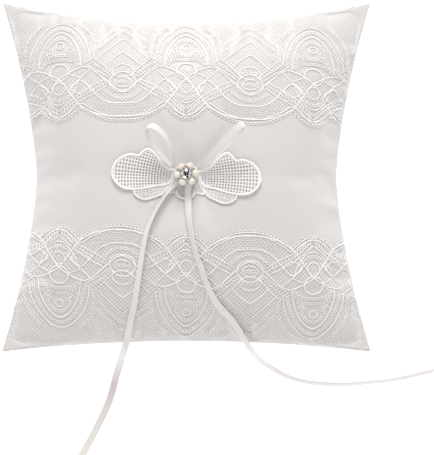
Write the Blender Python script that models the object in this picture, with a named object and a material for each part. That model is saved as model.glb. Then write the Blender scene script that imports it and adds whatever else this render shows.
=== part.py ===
"""Ring bearer pillow: a stuffed satin pillow with two lace bands, a lace butterfly, a ribbon bow with
two long tails, and a button of pearls round a crystal.

The pillow lies on its back. The origin is the middle of its four ears on the surface it lies on, +X runs
across the pillow, +Y towards its upper edge and +Z up out of the front cover. Lengths are in metres.
"""
import math

import bmesh
import bpy
from mathutils import Matrix, Vector

# ------------------------------------------------------------------ pillow
PILLOW_WIDTH = 0.210  # ear to ear, along X
PILLOW_LENGTH = 0.200  # ear to ear, along Y
SIDE_PULL_IN = 0.0194  # how far the left and right seams curve in at their middles
TOP_PULL_IN = 0.0110
BOTTOM_PULL_IN = 0.0060
SIDE_CURVE = 1.5  # exponent of the side seams' curve, and the end seams' curve is a parabola
SEAM_HEIGHT = 0.024  # seam above the surface that the pillow lies on
FRONT_HEIGHT = 0.0325  # crown of the front cover above the seam
BACK_BULGE = 0.0270  # crown of the back cover, before the surface under it flattens the crown
CROWN_CURVE = 2.2
EDGE_STEEPNESS = 0.65
COVER_THICKNESS = 0.0006
DIMPLE_DEPTH = 0.0030  # the button's thread pulls the front cover in
DIMPLE_RADIUS = 0.016
CREASE_DEPTH = 0.0008  # the pull draws a shallow valley across the pillow
CREASE_WIDTH = 0.008
CLEARANCE = 0.0003  # between faces that lie on each other
FILLING_CLEARANCE = 0.0005

# ------------------------------------------------------------------ lace bands
LACE_REPEAT = 0.0715  # one large and one small scallop
SMALL_SCALLOP = 0.0240
NOTCH_DEPTH = 0.0103  # notch between scallops, behind the tip of a large one
SMALL_SCALLOP_DROP = 0.0034  # tip of a small scallop, behind the tip of a large one
UPPER_BAND_EDGE = 0.0285  # Y of the upper band's large scallop tips
LOWER_BAND_EDGE = -0.0335
LACE_THICKNESS = 0.0005
LACE_GAP = 0.0005

# ------------------------------------------------------------------ lace butterfly
APPLIQUE_THICKNESS = 0.0006
APPLIQUE_GAP = 0.0008
WING_RISE = 0.0012  # how much further from the satin a wing's tip stands than its root
WING_HINGE_TOP = (0.0065, 0.0030)  # a wing bends along a line, from here
WING_HINGE_END = (0.0125, -0.0108)  # to here
BUTTERFLY_TURN = math.radians(-3.0)
# Right wing, from the upper end of its hinge round the fore wing and the hind wing to the lower end.
WING_OUTLINE = [
    (0.0105, 0.0040), (0.0140, 0.0062), (0.0180, 0.0113), (0.0220, 0.0143), (0.0252, 0.0126),
    (0.0275, 0.0098), (0.0315, 0.0108), (0.0365, 0.0090), (0.0405, 0.0048), (0.0417, -0.0010),
    (0.0395, -0.0062), (0.0350, -0.0094), (0.0305, -0.0097), (0.0286, -0.0102), (0.0286, -0.0124),
    (0.0255, -0.0147), (0.0220, -0.0151), (0.0190, -0.0142), (0.0150, -0.0124),
]
# Right half of the body, from the head down the side that faces the wing to the tip of the abdomen.
BODY_OUTLINE = [
    (0.0000, 0.0062), (0.0030, 0.0058), (0.0055, 0.0045), (0.0060, 0.0030), (0.0119, -0.0103),
    (0.0060, -0.0107), (0.0042, -0.0122), (0.0000, -0.0134),
]

# ------------------------------------------------------------------ ribbon bow
RIBBON_WIDTH = 0.0040
LOOP_RIBBON_THICKNESS = 0.0008
KNOT_OUTER_RADIUS = 0.0042
KNOT_ARM_THICKNESS = 0.0012
KNOT_CHAMFER = 0.0006
ARM_SETBACK = 0.0020  # from an arm's end to the root of its loop
LOOP_ROOT_SPREAD = 0.0016  # between the two ends of a loop where they meet the knot
LEFT_LOOP = {
    "root": (-0.0074, 0.0048),  # from the button's centre
    "tip": (-0.0202, 0.0258),
    "rise": math.radians(36.0),
    "roll": math.radians(-50.0),  # ribbon's width from level
    "opening": 0.0104,
}
RIGHT_LOOP = {
    "root": (0.0082, 0.0035),
    "tip": (0.0322, 0.0265),
    "rise": math.radians(30.0),
    "roll": math.radians(30.0),
    "opening": 0.0090,
}
# The tails run from the knot over the pillow, fall past its lower seam and lie on the table.
LEFT_TAIL_ROUTE = [
    (-0.0037, -0.0051, 0.0577), (-0.0054, -0.0070, 0.0576), (-0.0086, -0.0103, 0.0584),
    (-0.0111, -0.0129, 0.0590), (-0.0145, -0.0181, 0.0592), (-0.0174, -0.0225, 0.0588),
    (-0.0197, -0.0272, 0.0583), (-0.0225, -0.0351, 0.0571), (-0.0254, -0.0503, 0.0540),
    (-0.0282, -0.0669, 0.0490), (-0.0311, -0.0830, 0.0420), (-0.0326, -0.0900, 0.0382),
    (-0.0336, -0.0968, 0.0333), (-0.0347, -0.1012, 0.0258), (-0.0359, -0.1036, 0.0174),
    (-0.0375, -0.1062, 0.0102), (-0.0394, -0.1095, 0.0050), (-0.0415, -0.1165, 0.0026),
    (-0.0439, -0.1255, 0.0021), (-0.0510, -0.1410, 0.0021), (-0.0596, -0.1570, 0.0021),
    (-0.0665, -0.1710, 0.0021), (-0.0705, -0.1850, 0.0021), (-0.0700, -0.1990, 0.0021),
    (-0.0645, -0.2135, 0.0021),
]
RIGHT_TAIL_ROUTE = [
    (0.0012, -0.0069, 0.0577), (0.0010, -0.0096, 0.0577), (0.0009, -0.0123, 0.0584),
    (0.0010, -0.0170, 0.0588), (0.0012, -0.0220, 0.0590), (0.0020, -0.0317, 0.0584),
    (0.0060, -0.0486, 0.0553), (0.0123, -0.0653, 0.0502), (0.0170, -0.0740, 0.0465),
    (0.0231, -0.0815, 0.0431), (0.0280, -0.0877, 0.0398), (0.0328, -0.0942, 0.0356),
    (0.0374, -0.1002, 0.0278), (0.0406, -0.1030, 0.0182), (0.0440, -0.1052, 0.0102),
    (0.0495, -0.1078, 0.0046), (0.0573, -0.1123, 0.0023), (0.0704, -0.1157, 0.0021),
    (0.0892, -0.1169, 0.0021), (0.1086, -0.1152, 0.0021), (0.1217, -0.1134, 0.0021),
    (0.1411, -0.1089, 0.0021), (0.1582, -0.1062, 0.0021),
]

# ------------------------------------------------------------------ button
PEARL_COUNT = 6
PEARL_RADIUS = 0.0020
PEARL_START = math.radians(5.0)
BASE_THICKNESS = 0.0008
SHANK_OUTER_RADIUS = 0.0016
THREAD_RADIUS = 0.0007
THREAD_KNOT_RADIUS = 0.0016
THREAD_KNOT_HEIGHT = 0.0012
CRYSTAL_RADIUS = 0.0029
PEARL_CLEARANCE = 0.0002  # between the crystal's girdle and the pearls round and under it
PEARL_RING_RADIUS = CRYSTAL_RADIUS + PEARL_RADIUS + PEARL_CLEARANCE
BASE_MARGIN = 0.0011  # from the middles of the pearls to the base's edge
BASE_RADIUS = PEARL_RING_RADIUS + BASE_MARGIN
CRYSTAL_TABLE = 0.56  # share of the crystal's radius
CRYSTAL_CROWN_HEIGHT = 0.0011
CRYSTAL_PAVILION_HEIGHT = 0.0024
CRYSTAL_SIDES = 16
GIRDLE_ABOVE_BASE = 2 * PEARL_RADIUS + PEARL_CLEARANCE
SETTING_FOOT_RADIUS = 0.0014
SETTING_RIM_DROP = 0.0003  # rim of the setting below the crystal's girdle
SETTING_WALL = 0.0004
SETTING_SIDES = 24
CLAW_COUNT = 4
CLAW_HEIGHT = 0.0011
CLAW_LEAN = 0.0005

# ------------------------------------------------------------------ mesh detail
FRONT_COLUMNS, FRONT_ROWS = 30, 24
SEAM_LINES = 2  # the lace stops this many of the cover's lines short of each seam
BACK_COLUMNS, BACK_ROWS = 20, 16
BUTTERFLY_STEPS = 4  # across a wing or the body
TAIL_POINT_SPACING = 2.0  # in ribbon widths
LOOP_POINT_SPACING = 0.75
SMALL_ROUND = 16  # segments of the thread, the shank and their holes
KNOT_ROUND = 24
BASE_ROUND = 32
PEARL_ROUND, PEARL_RINGS = 12, 8
SOFT_EDGE = math.radians(50)  # a steeper angle between faces is shaded as an edge
HARD_EDGE = math.radians(40)

TUFT_Y = (BOTTOM_PULL_IN - TOP_PULL_IN) / 2
FRONT_BASE = SEAM_HEIGHT + CLEARANCE


# ------------------------------------------------------------------ scene helpers
def clear_scene():
    for thing in list(bpy.data.objects):
        bpy.data.objects.remove(thing, do_unlink=True)


def material(name, colour, roughness, metallic=0.0, transmission=0.0):
    made = bpy.data.materials.new(name)
    made.use_nodes = True
    shader = made.node_tree.nodes["Principled BSDF"]
    shader.inputs["Base Color"].default_value = (*colour, 1.0)
    shader.inputs["Roughness"].default_value = roughness
    shader.inputs["Metallic"].default_value = metallic
    shader.inputs["Transmission Weight"].default_value = transmission
    made.diffuse_color = (*colour, 1.0)
    return made


def add_object(name, data, finish, origin=(0, 0, 0), parent=None):
    """Links an object whose data is in world coordinates, with its own origin at the given point."""
    made = bpy.data.objects.new(name, data)
    bpy.context.scene.collection.objects.link(made)
    if finish:
        data.materials.append(finish)
    data.transform(Matrix.Translation(-Vector(origin)))
    made.location = origin
    if parent:
        made.parent = parent
        made.location = Vector(origin) - parent.location
    return made


def mesh_from(name, build, smooth_angle=None):
    """Runs build on an empty bmesh, turns its faces outwards and returns the mesh."""
    shape = bmesh.new()
    build(shape)
    bmesh.ops.recalc_face_normals(shape, faces=shape.faces)
    if shape.calc_volume(signed=True) < 0:
        bmesh.ops.reverse_faces(shape, faces=shape.faces)
    mesh = bpy.data.meshes.new(name)
    shape.to_mesh(mesh)
    shape.free()
    if smooth_angle is not None:
        mesh.shade_smooth()
        mesh.set_sharp_from_angle(angle=smooth_angle)
    return mesh


def cutter(name, radius, bottom, top):
    """A hidden upright cylinder on the button's axis."""
    def build(shape):
        middle = Matrix.Translation((0, TUFT_Y, (bottom + top) / 2))
        bmesh.ops.create_cone(shape, cap_ends=True, segments=SMALL_ROUND, radius1=radius,
                              radius2=radius, depth=top - bottom, matrix=middle)
    made = add_object(name, mesh_from(name, build), None)
    made.hide_render = True
    made.display_type = "WIRE"
    return made


def cut(thing, tool, operation="DIFFERENCE"):
    change = thing.modifiers.new(tool.name, "BOOLEAN")
    change.operation = operation
    change.solver = "EXACT"
    change.object = tool


# ------------------------------------------------------------------ pillow surfaces
def crowded(count):
    """Lines from -1 to 1, closer together towards both ends."""
    return [math.sin(math.pi / 2 * (2 * i / count - 1)) for i in range(count + 1)]


def plan(u, v):
    """Place on the seam plane of a point of the cover, with u and v from -1 to 1 across it."""
    half_width = PILLOW_WIDTH / 2 - SIDE_PULL_IN * (1 - abs(v) ** SIDE_CURVE)
    pull_in = TOP_PULL_IN if v > 0 else BOTTOM_PULL_IN
    half_length = PILLOW_LENGTH / 2 - pull_in * (1 - u * u)
    return u * half_width, v * half_length


def across(x, y):
    """The u and v of the cover's point above x, y."""
    u = v = 0.0
    for _ in range(12):
        half_width = PILLOW_WIDTH / 2 - SIDE_PULL_IN * (1 - abs(v) ** SIDE_CURVE)
        u = max(-1.0, min(1.0, x / half_width))
        pull_in = TOP_PULL_IN if y > 0 else BOTTOM_PULL_IN
        half_length = PILLOW_LENGTH / 2 - pull_in * (1 - u * u)
        v = max(-1.0, min(1.0, y / half_length))
    return u, v


def crown(u, v):
    """1 at the middle of a cover and 0 all along its seam."""
    return ((1 - abs(u) ** CROWN_CURVE) * (1 - abs(v) ** CROWN_CURVE)) ** EDGE_STEEPNESS


def front_rise(u, v):
    """Height of the front cover above its rim."""
    x, y = plan(u, v)
    from_tuft = y - TUFT_Y
    dimple = DIMPLE_DEPTH * math.exp(-(x * x + from_tuft * from_tuft) / DIMPLE_RADIUS**2)
    crease = CREASE_DEPTH * math.exp(-((from_tuft / CREASE_WIDTH) ** 2)) * (1 - u * u)
    return FRONT_HEIGHT * crown(u, v) - (dimple + crease) * (1 - u * u)


def front_point(u, v, scale=1.0):
    """A point of the front cover, or of the same surface grown or shrunk about the seam's middle."""
    x, y = plan(u, v)
    return Vector((x * scale, y * scale, FRONT_BASE + front_rise(u, v) * scale))


def front_height(x, y):
    return FRONT_BASE + front_rise(*across(x, y))


def back_point(u, v, scale=1.0):
    x, y = plan(u, v)
    drop = min(SEAM_HEIGHT, BACK_BULGE * crown(u, v))
    return Vector((x * scale, y * scale, SEAM_HEIGHT - drop * scale))


def closed_sheet(shape, top, bottom):
    """A solid between two grids of points with the same number of rows and columns."""
    rows, columns = len(top), len(top[0])
    upper = [[shape.verts.new(p) for p in row] for row in top]
    lower = [[shape.verts.new(p) for p in row] for row in bottom]
    for j in range(rows - 1):
        for i in range(columns - 1):
            shape.faces.new((upper[j][i], upper[j][i + 1], upper[j + 1][i + 1], upper[j + 1][i]))
            shape.faces.new((lower[j][i], lower[j + 1][i], lower[j + 1][i + 1], lower[j][i + 1]))
    rim = [(0, i) for i in range(columns)] + [(j, columns - 1) for j in range(1, rows)]
    rim += [(rows - 1, i) for i in range(columns - 2, -1, -1)] + [(j, 0) for j in range(rows - 2, 0, -1)]
    for (j, i), (l, k) in zip(rim, rim[1:] + rim[:1]):
        shape.faces.new((upper[j][i], lower[j][i], lower[l][k], upper[l][k]))


def grid(point, columns, rows):
    return [[point(u, v) for u in columns] for v in rows]


def front_cover(finish):
    columns, rows = crowded(FRONT_COLUMNS), crowded(FRONT_ROWS)
    inside = 1 - COVER_THICKNESS / FRONT_HEIGHT

    def build(shape):
        outer = grid(front_point, columns, rows)
        inner = grid(lambda u, v: front_point(u, v, inside), columns, rows)
        closed_sheet(shape, outer, inner)
    return add_object("front_cover", mesh_from("front_cover", build, SOFT_EDGE), finish)


def back_cover(finish):
    columns, rows = crowded(BACK_COLUMNS), crowded(BACK_ROWS)
    inside = 1 - COVER_THICKNESS / SEAM_HEIGHT

    def build(shape):
        outer = grid(back_point, columns, rows)
        inner = grid(lambda u, v: back_point(u, v, inside), columns, rows)
        closed_sheet(shape, inner, outer)
    return add_object("back_cover", mesh_from("back_cover", build, SOFT_EDGE), finish)


def fibre_filling(finish):
    """The filling is one plain crowned block, lower than the bottom of the dimple."""
    columns, rows = crowded(BACK_COLUMNS), crowded(BACK_ROWS)
    around = COVER_THICKNESS + FILLING_CLEARANCE
    inside = 1 - around / SEAM_HEIGHT
    height = FRONT_HEIGHT - DIMPLE_DEPTH - CREASE_DEPTH - around

    def top_point(u, v):
        x, y = plan(u, v)
        return Vector((x * inside, y * inside, FRONT_BASE + height * crown(u, v)))

    def build(shape):
        bottom = grid(lambda u, v: back_point(u, v, inside), columns, rows)
        closed_sheet(shape, grid(top_point, columns, rows), bottom)
    return add_object("fibre_filling", mesh_from("fibre_filling", build, SOFT_EDGE), finish)


# ------------------------------------------------------------------ lace bands
def scallop_drop(x):
    """How far the scalloped edge stands behind the tips of the large scallops."""
    from_small = abs((x / LACE_REPEAT + 0.5) % 1 - 0.5) * LACE_REPEAT
    half_small = SMALL_SCALLOP / 2
    if from_small < half_small:
        return SMALL_SCALLOP_DROP + (NOTCH_DEPTH - SMALL_SCALLOP_DROP) * (from_small / half_small) ** 2
    half_large = (LACE_REPEAT - SMALL_SCALLOP) / 2
    return NOTCH_DEPTH * ((LACE_REPEAT / 2 - from_small) / half_large) ** 2


def lace_band(name, side, edge, finish):
    """A band from the end seam on one side, +1 or -1 in Y, to its scalloped edge."""
    columns = crowded(FRONT_COLUMNS)[SEAM_LINES:-SEAM_LINES]
    lines = [side * v for v in crowded(FRONT_ROWS)[SEAM_LINES:-SEAM_LINES] if v > 0]
    inmost = [v for v in lines if abs(plan(0, v)[1]) > abs(edge) + NOTCH_DEPTH]

    def band_point(i, j, scale):
        """Row 0 is the scalloped edge, row 1 lies midway to the first of the cover's own lines."""
        u = columns[i]
        if j >= 2:
            return front_point(u, inmost[j - 2], scale)
        drop = scallop_drop(plan(u, edge / (PILLOW_LENGTH / 2))[0])
        v_edge = across(0, edge + side * drop)[1]
        return front_point(u, v_edge + (inmost[0] - v_edge) * j / 2, scale)

    def band_grid(lift):
        scale = 1 + lift / FRONT_HEIGHT
        return [[band_point(i, j, scale) for i in range(len(columns))] for j in range(len(inmost) + 2)]

    def build(shape):
        closed_sheet(shape, band_grid(LACE_GAP + LACE_THICKNESS), band_grid(LACE_GAP))
    return add_object(name, mesh_from(name, build, SOFT_EDGE), finish)


# ------------------------------------------------------------------ lace butterfly
def butterfly_place(side, x, y):
    """From the right wing's own coordinates to the pillow's, with side -1 for the left wing."""
    turned = Matrix.Rotation(BUTTERFLY_TURN, 2) @ Vector((side * x, y))
    return turned.x, turned.y + TUFT_Y


def applique_point(side, x, y, lift):
    place = butterfly_place(side, x, y)
    return Vector((*place, front_height(*place) + lift))


def wing(name, side, finish):
    """A wing whose origin is the upper end of the line that it bends along."""
    count = len(WING_OUTLINE) - 1
    root_top, root_end = Vector(WING_HINGE_TOP), Vector(WING_HINGE_END)
    span = max(x for x, _ in WING_OUTLINE) - WING_HINGE_TOP[0]

    def row(k, lift):
        root = root_top.lerp(root_end, k / count)
        points = [root.lerp(Vector(WING_OUTLINE[k]), j / BUTTERFLY_STEPS)
                  for j in range(BUTTERFLY_STEPS + 1)]
        return [applique_point(side, p.x, p.y, lift + WING_RISE * (p.x - root_top.x) / span)
                for p in points]

    def build(shape):
        order = range(count + 1) if side > 0 else range(count, -1, -1)
        top = [row(k, APPLIQUE_GAP + APPLIQUE_THICKNESS) for k in order]
        bottom = [row(k, APPLIQUE_GAP) for k in order]
        closed_sheet(shape, top, bottom)
    origin, _ = wing_hinge(side)
    return add_object(name, mesh_from(name, build, SOFT_EDGE), finish, origin)


def wing_hinge(side):
    """A point of the line that a wing bends along, and the direction that lifts the wing."""
    middle = APPLIQUE_GAP + APPLIQUE_THICKNESS / 2
    start = applique_point(side, *WING_HINGE_TOP, middle)
    end = applique_point(side, *WING_HINGE_END, middle)
    return start, (start - end).normalized() * -side


def butterfly_body(finish):
    """The narrow stitched middle of the butterfly."""
    half = len(BODY_OUTLINE)

    def row(k, lift):
        x, y = BODY_OUTLINE[k]
        places = [x * (2 * j / BUTTERFLY_STEPS - 1) for j in range(BUTTERFLY_STEPS + 1)]
        return [applique_point(1, place, y, lift) for place in places]

    def build(shape):
        rings = [(k, row(k, APPLIQUE_GAP + APPLIQUE_THICKNESS), row(k, APPLIQUE_GAP))
                 for k in range(1, half - 1)]
        closed_sheet(shape, [top for _, top, _ in rings], [bottom for _, _, bottom in rings])
    return add_object("butterfly_body", mesh_from("butterfly_body", build, SOFT_EDGE), finish)


# ------------------------------------------------------------------ ribbon
def smooth_curve(points, steps=12):
    """A Catmull-Rom curve through the points, as a fine polyline."""
    points = [Vector(p) for p in points]
    ends = [points[0] * 2 - points[1], *points, points[-1] * 2 - points[-2]]
    fine = []
    for before, start, end, after in zip(ends, ends[1:], ends[2:], ends[3:]):
        for k in range(steps):
            t = k / steps
            fine.append(0.5 * (2 * start + (end - before) * t
                               + (2 * before - 5 * start + 4 * end - after) * t**2
                               + (3 * start - before - 3 * end + after) * t**3))
    return fine + [points[-1]]


def evenly(points, spacing):
    """The same polyline with points about the given spacing apart."""
    travelled = [0.0]
    for a, b in zip(points, points[1:]):
        travelled.append(travelled[-1] + (b - a).length)
    count = max(2, round(travelled[-1] / spacing))
    found, k = [points[0]], 1
    for step in range(1, count):
        wanted = travelled[-1] * step / count
        while travelled[k] < wanted:
            k += 1
        share = (wanted - travelled[k - 1]) / (travelled[k] - travelled[k - 1])
        found.append(points[k - 1].lerp(points[k], share))
    return found + [points[-1]]


def ribbon_tail(name, route, finish):
    """A tail of the bow, as a plain round cord as thick as the ribbon is wide."""
    points = evenly(smooth_curve(route), TAIL_POINT_SPACING * RIBBON_WIDTH)
    curve = bpy.data.curves.new(name, "CURVE")
    curve.dimensions = "3D"
    curve.bevel_depth = RIBBON_WIDTH / 2
    curve.bevel_resolution = 2
    curve.use_fill_caps = True
    line = curve.splines.new("POLY")
    line.points.add(len(points) - 1)
    for place, point in zip(line.points, points):
        place.co = (*point, 1.0)
    return add_object(name, curve, finish)


def knot_heights():
    """Bottom and top of the knot, whose arms clear the butterfly where the satin is highest."""
    arm_ends = [loop["root"] for loop in (LEFT_LOOP, RIGHT_LOOP)]
    highest = max(front_height(x, y + TUFT_Y) for x, y in arm_ends)
    bottom = highest + APPLIQUE_GAP + APPLIQUE_THICKNESS + CLEARANCE
    return bottom, bottom + RIBBON_WIDTH


def turned(shape, profile, segments, closed=True):
    """Turns a profile of (radius, height) points about the button's axis, as a ring or a capped solid."""
    rings = []
    for radius, height in profile:
        angles = [2 * math.pi * k / segments for k in range(segments)]
        rings.append([shape.verts.new((radius * math.cos(a), TUFT_Y + radius * math.sin(a), height))
                      for a in angles])
    follow = zip(rings, rings[1:] + rings[:1]) if closed else zip(rings, rings[1:])
    for ring, following in follow:
        for k in range(segments):
            n = (k + 1) % segments
            shape.faces.new((ring[k], ring[n], following[n], following[k]))
    if not closed:
        shape.faces.new(rings[0])
        shape.faces.new(rings[-1])
    return rings


def bow_knot(finish):
    """Ribbon wound round the shank, with an arm towards each loop."""
    bottom, top = knot_heights()
    hole = SHANK_OUTER_RADIUS + CLEARANCE
    chamfer = KNOT_CHAMFER

    def build(shape):
        turned(shape, [(hole, bottom), (KNOT_OUTER_RADIUS - chamfer, bottom),
                       (KNOT_OUTER_RADIUS, bottom + chamfer), (KNOT_OUTER_RADIUS, top - chamfer),
                       (KNOT_OUTER_RADIUS - chamfer, top), (hole, top)], KNOT_ROUND)
    knot = add_object("bow_knot", mesh_from("bow_knot", build, HARD_EDGE), finish)
    for name, loop in (("left_arm", LEFT_LOOP), ("right_arm", RIGHT_LOOP)):
        root = Vector(loop["root"])
        inner, outer = (hole + KNOT_OUTER_RADIUS) / 2, root.length - ARM_SETBACK
        turn = Matrix.Translation((0, TUFT_Y, 0)) @ Matrix.Rotation(math.atan2(root.y, root.x), 4, "Z")
        middle = Matrix.Translation(((inner + outer) / 2, 0, (bottom + top) / 2))
        size = Matrix.Diagonal((outer - inner, KNOT_ARM_THICKNESS, top - bottom - chamfer, 1))

        def build_arm(shape, place=turn @ middle @ size):
            bmesh.ops.create_cube(shape, size=1, matrix=place)
        arm = add_object(name, mesh_from(name, build_arm), None)
        arm.hide_render = True
        arm.display_type = "WIRE"
        cut(knot, arm, "UNION")
    return knot


def loop_axes(loop):
    """Root of a loop, its length, and the directions along it, across its opening and of its width."""
    bottom, top = knot_heights()
    out = Vector(loop["tip"]) - Vector(loop["root"])
    flat_length = out.length
    out.normalize()
    side = Vector((out.y, -out.x, 0))
    along = Vector((*(out * math.cos(loop["rise"])), math.sin(loop["rise"])))
    up = side.cross(along)
    width = side * math.cos(loop["roll"]) + up * math.sin(loop["roll"])
    across_opening = up * math.cos(loop["roll"]) - side * math.sin(loop["roll"])
    root = Vector((loop["root"][0], loop["root"][1] + TUFT_Y, (bottom + top) / 2))
    return root, flat_length / math.cos(loop["rise"]), along, across_opening, width


def teardrop(length, opening, spread, steps=72):
    """A loop of ribbon in its own plane: out along one side, round the tip and back."""
    fullest = 4 / (3 * math.sqrt(3))  # greatest value of sin(t) * sin(t / 2)
    points = []
    for k in range(steps + 1):
        t = 2 * math.pi * k / steps
        sideways = opening / 2 * math.sin(t) * math.sin(t / 2) / fullest
        points.append(Vector((length * (1 - math.cos(t)) / 2, sideways + spread / 2 * math.cos(t / 2), 0)))
    return points


def bow_loop(name, loop, finish):
    root, length, along, opening, width = loop_axes(loop)
    middle = evenly(teardrop(length, loop["opening"], LOOP_ROOT_SPREAD), LOOP_POINT_SPACING * RIBBON_WIDTH)
    half_width, half_thickness = width * RIBBON_WIDTH / 2, LOOP_RIBBON_THICKNESS / 2

    def build(shape):
        sections = []
        for k, point in enumerate(middle):
            ahead = middle[min(k + 1, len(middle) - 1)] - middle[max(k - 1, 0)]
            normal = Vector((-ahead.y, ahead.x, 0)).normalized()
            corners = []
            for w, n in ((-1, -1), (1, -1), (1, 1), (-1, 1)):
                flat = point + normal * half_thickness * n
                corners.append(shape.verts.new(root + along * flat.x + opening * flat.y + half_width * w))
            sections.append(corners)
        for one, other in zip(sections, sections[1:]):
            for k in range(4):
                n = (k + 1) % 4
                shape.faces.new((one[k], one[n], other[n], other[k]))
        shape.faces.new(sections[0])
        shape.faces.new(sections[-1])
    return add_object(name, mesh_from(name, build, HARD_EDGE), finish, root)


# ------------------------------------------------------------------ button
def button_levels():
    """Bottom and top of the button's base."""
    bottom = knot_heights()[1] + CLEARANCE
    return bottom, bottom + BASE_THICKNESS


def brooch_base(finish, axis):
    bottom, top = button_levels()
    edge = BASE_THICKNESS / 3

    def build(shape):
        turned(shape, [(THREAD_RADIUS, bottom), (BASE_RADIUS - edge, bottom), (BASE_RADIUS, bottom + edge),
                       (BASE_RADIUS, top - edge), (BASE_RADIUS - edge, top),
                       (THREAD_RADIUS, top)], BASE_ROUND)
    return add_object("brooch_base", mesh_from("brooch_base", build, HARD_EDGE), finish,
                      axis.location, axis)


def brooch_shank(finish, axis):
    bottom, top = knot_heights()[0], button_levels()[0] - CLEARANCE
    bore = THREAD_RADIUS + CLEARANCE

    def build(shape):
        turned(shape, [(bore, bottom), (SHANK_OUTER_RADIUS, bottom), (SHANK_OUTER_RADIUS, top),
                       (bore, top)], SMALL_ROUND)
    return add_object("brooch_shank", mesh_from("brooch_shank", build, HARD_EDGE), finish,
                      axis.location, axis)


def crystal_setting(finish, axis):
    """A conical cup that ends in claws, which lean in over the crystal."""
    foot = button_levels()[1] + CLEARANCE
    rim = button_levels()[1] + GIRDLE_ABOVE_BASE - SETTING_RIM_DROP
    inside = CRYSTAL_RADIUS + CLEARANCE / 3

    def build(shape):
        rings = turned(shape, [(SETTING_FOOT_RADIUS - SETTING_WALL, foot), (SETTING_FOOT_RADIUS, foot),
                               (inside + SETTING_WALL, rim), (inside, rim)], SETTING_SIDES)
        for claw in range(CLAW_COUNT):
            first = round(claw * SETTING_SIDES / CLAW_COUNT)
            seat = [rings[r][k] for r, k in ((2, first), (2, first + 1), (3, first + 1), (3, first))]
            face = next(f for f in shape.faces if set(f.verts) == set(seat))
            grown = bmesh.ops.extrude_face_region(shape, geom=[face])
            shape.faces.remove(face)
            for vertex in (v for v in grown["geom"] if isinstance(v, bmesh.types.BMVert)):
                inward = Vector((-vertex.co.x, TUFT_Y - vertex.co.y, 0)).normalized()
                vertex.co += inward * CLAW_LEAN + Vector((0, 0, CLAW_HEIGHT))
    return add_object("crystal_setting", mesh_from("crystal_setting", build, HARD_EDGE), finish,
                      axis.location, axis)


def crystal(finish, axis):
    girdle = button_levels()[1] + GIRDLE_ABOVE_BASE

    def build(shape):
        shape.verts.new((0, TUFT_Y, girdle - CRYSTAL_PAVILION_HEIGHT))
        for radius, height, turn in ((CRYSTAL_RADIUS, girdle, 0.0),
                                     (CRYSTAL_RADIUS * CRYSTAL_TABLE, girdle + CRYSTAL_CROWN_HEIGHT, 0.5)):
            for k in range(CRYSTAL_SIDES):
                angle = 2 * math.pi * (k + turn) / CRYSTAL_SIDES
                shape.verts.new((radius * math.cos(angle), TUFT_Y + radius * math.sin(angle), height))
        bmesh.ops.convex_hull(shape, input=shape.verts)
    return add_object("crystal", mesh_from("crystal", build), finish, axis.location, axis)


def pearls(finish, axis):
    height = button_levels()[1] + CLEARANCE + PEARL_RADIUS

    def build(shape):
        bmesh.ops.create_uvsphere(shape, u_segments=PEARL_ROUND, v_segments=PEARL_RINGS,
                                  radius=PEARL_RADIUS)
    for number in range(PEARL_COUNT):
        angle = PEARL_START + 2 * math.pi * number / PEARL_COUNT
        name = f"pearl_{number + 1}"
        mesh = mesh_from(name, build, SOFT_EDGE)
        mesh.transform(Matrix.Translation((PEARL_RING_RADIUS * math.cos(angle),
                                           TUFT_Y + PEARL_RING_RADIUS * math.sin(angle), height)))
        add_object(name, mesh, finish, axis.location, axis)


def sewing_thread(finish):
    """Thread from inside the shank down through the butterfly and the satin to its knot."""
    tuft = front_height(0, TUFT_Y)
    under_satin = FRONT_BASE + (tuft - FRONT_BASE) * (1 - COVER_THICKNESS / FRONT_HEIGHT)
    knot_top = under_satin - CLEARANCE
    knot_bottom = knot_top - THREAD_KNOT_HEIGHT
    top = button_levels()[0] - 2 * CLEARANCE

    def build(shape):
        turned(shape, [(THREAD_KNOT_RADIUS, knot_bottom), (THREAD_KNOT_RADIUS, knot_top),
                       (THREAD_RADIUS, knot_top), (THREAD_RADIUS, top)], SMALL_ROUND, closed=False)
    thread = add_object("sewing_thread", mesh_from("sewing_thread", build, HARD_EDGE), finish)
    hole = cutter("thread_hole", THREAD_RADIUS + CLEARANCE, knot_bottom, top)
    pocket = cutter("knot_pocket", THREAD_KNOT_RADIUS + CLEARANCE, knot_bottom - CLEARANCE, top)
    cut(bpy.data.objects["front_cover"], hole)
    cut(bpy.data.objects["butterfly_body"], hole)
    cut(bpy.data.objects["fibre_filling"], pocket)
    return thread


def brooch_axis():
    """The upright axis that the button turns about."""
    axis = bpy.data.objects.new("brooch_axis", None)
    bpy.context.scene.collection.objects.link(axis)
    axis.location = (0, TUFT_Y, button_levels()[0])
    return axis


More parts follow.
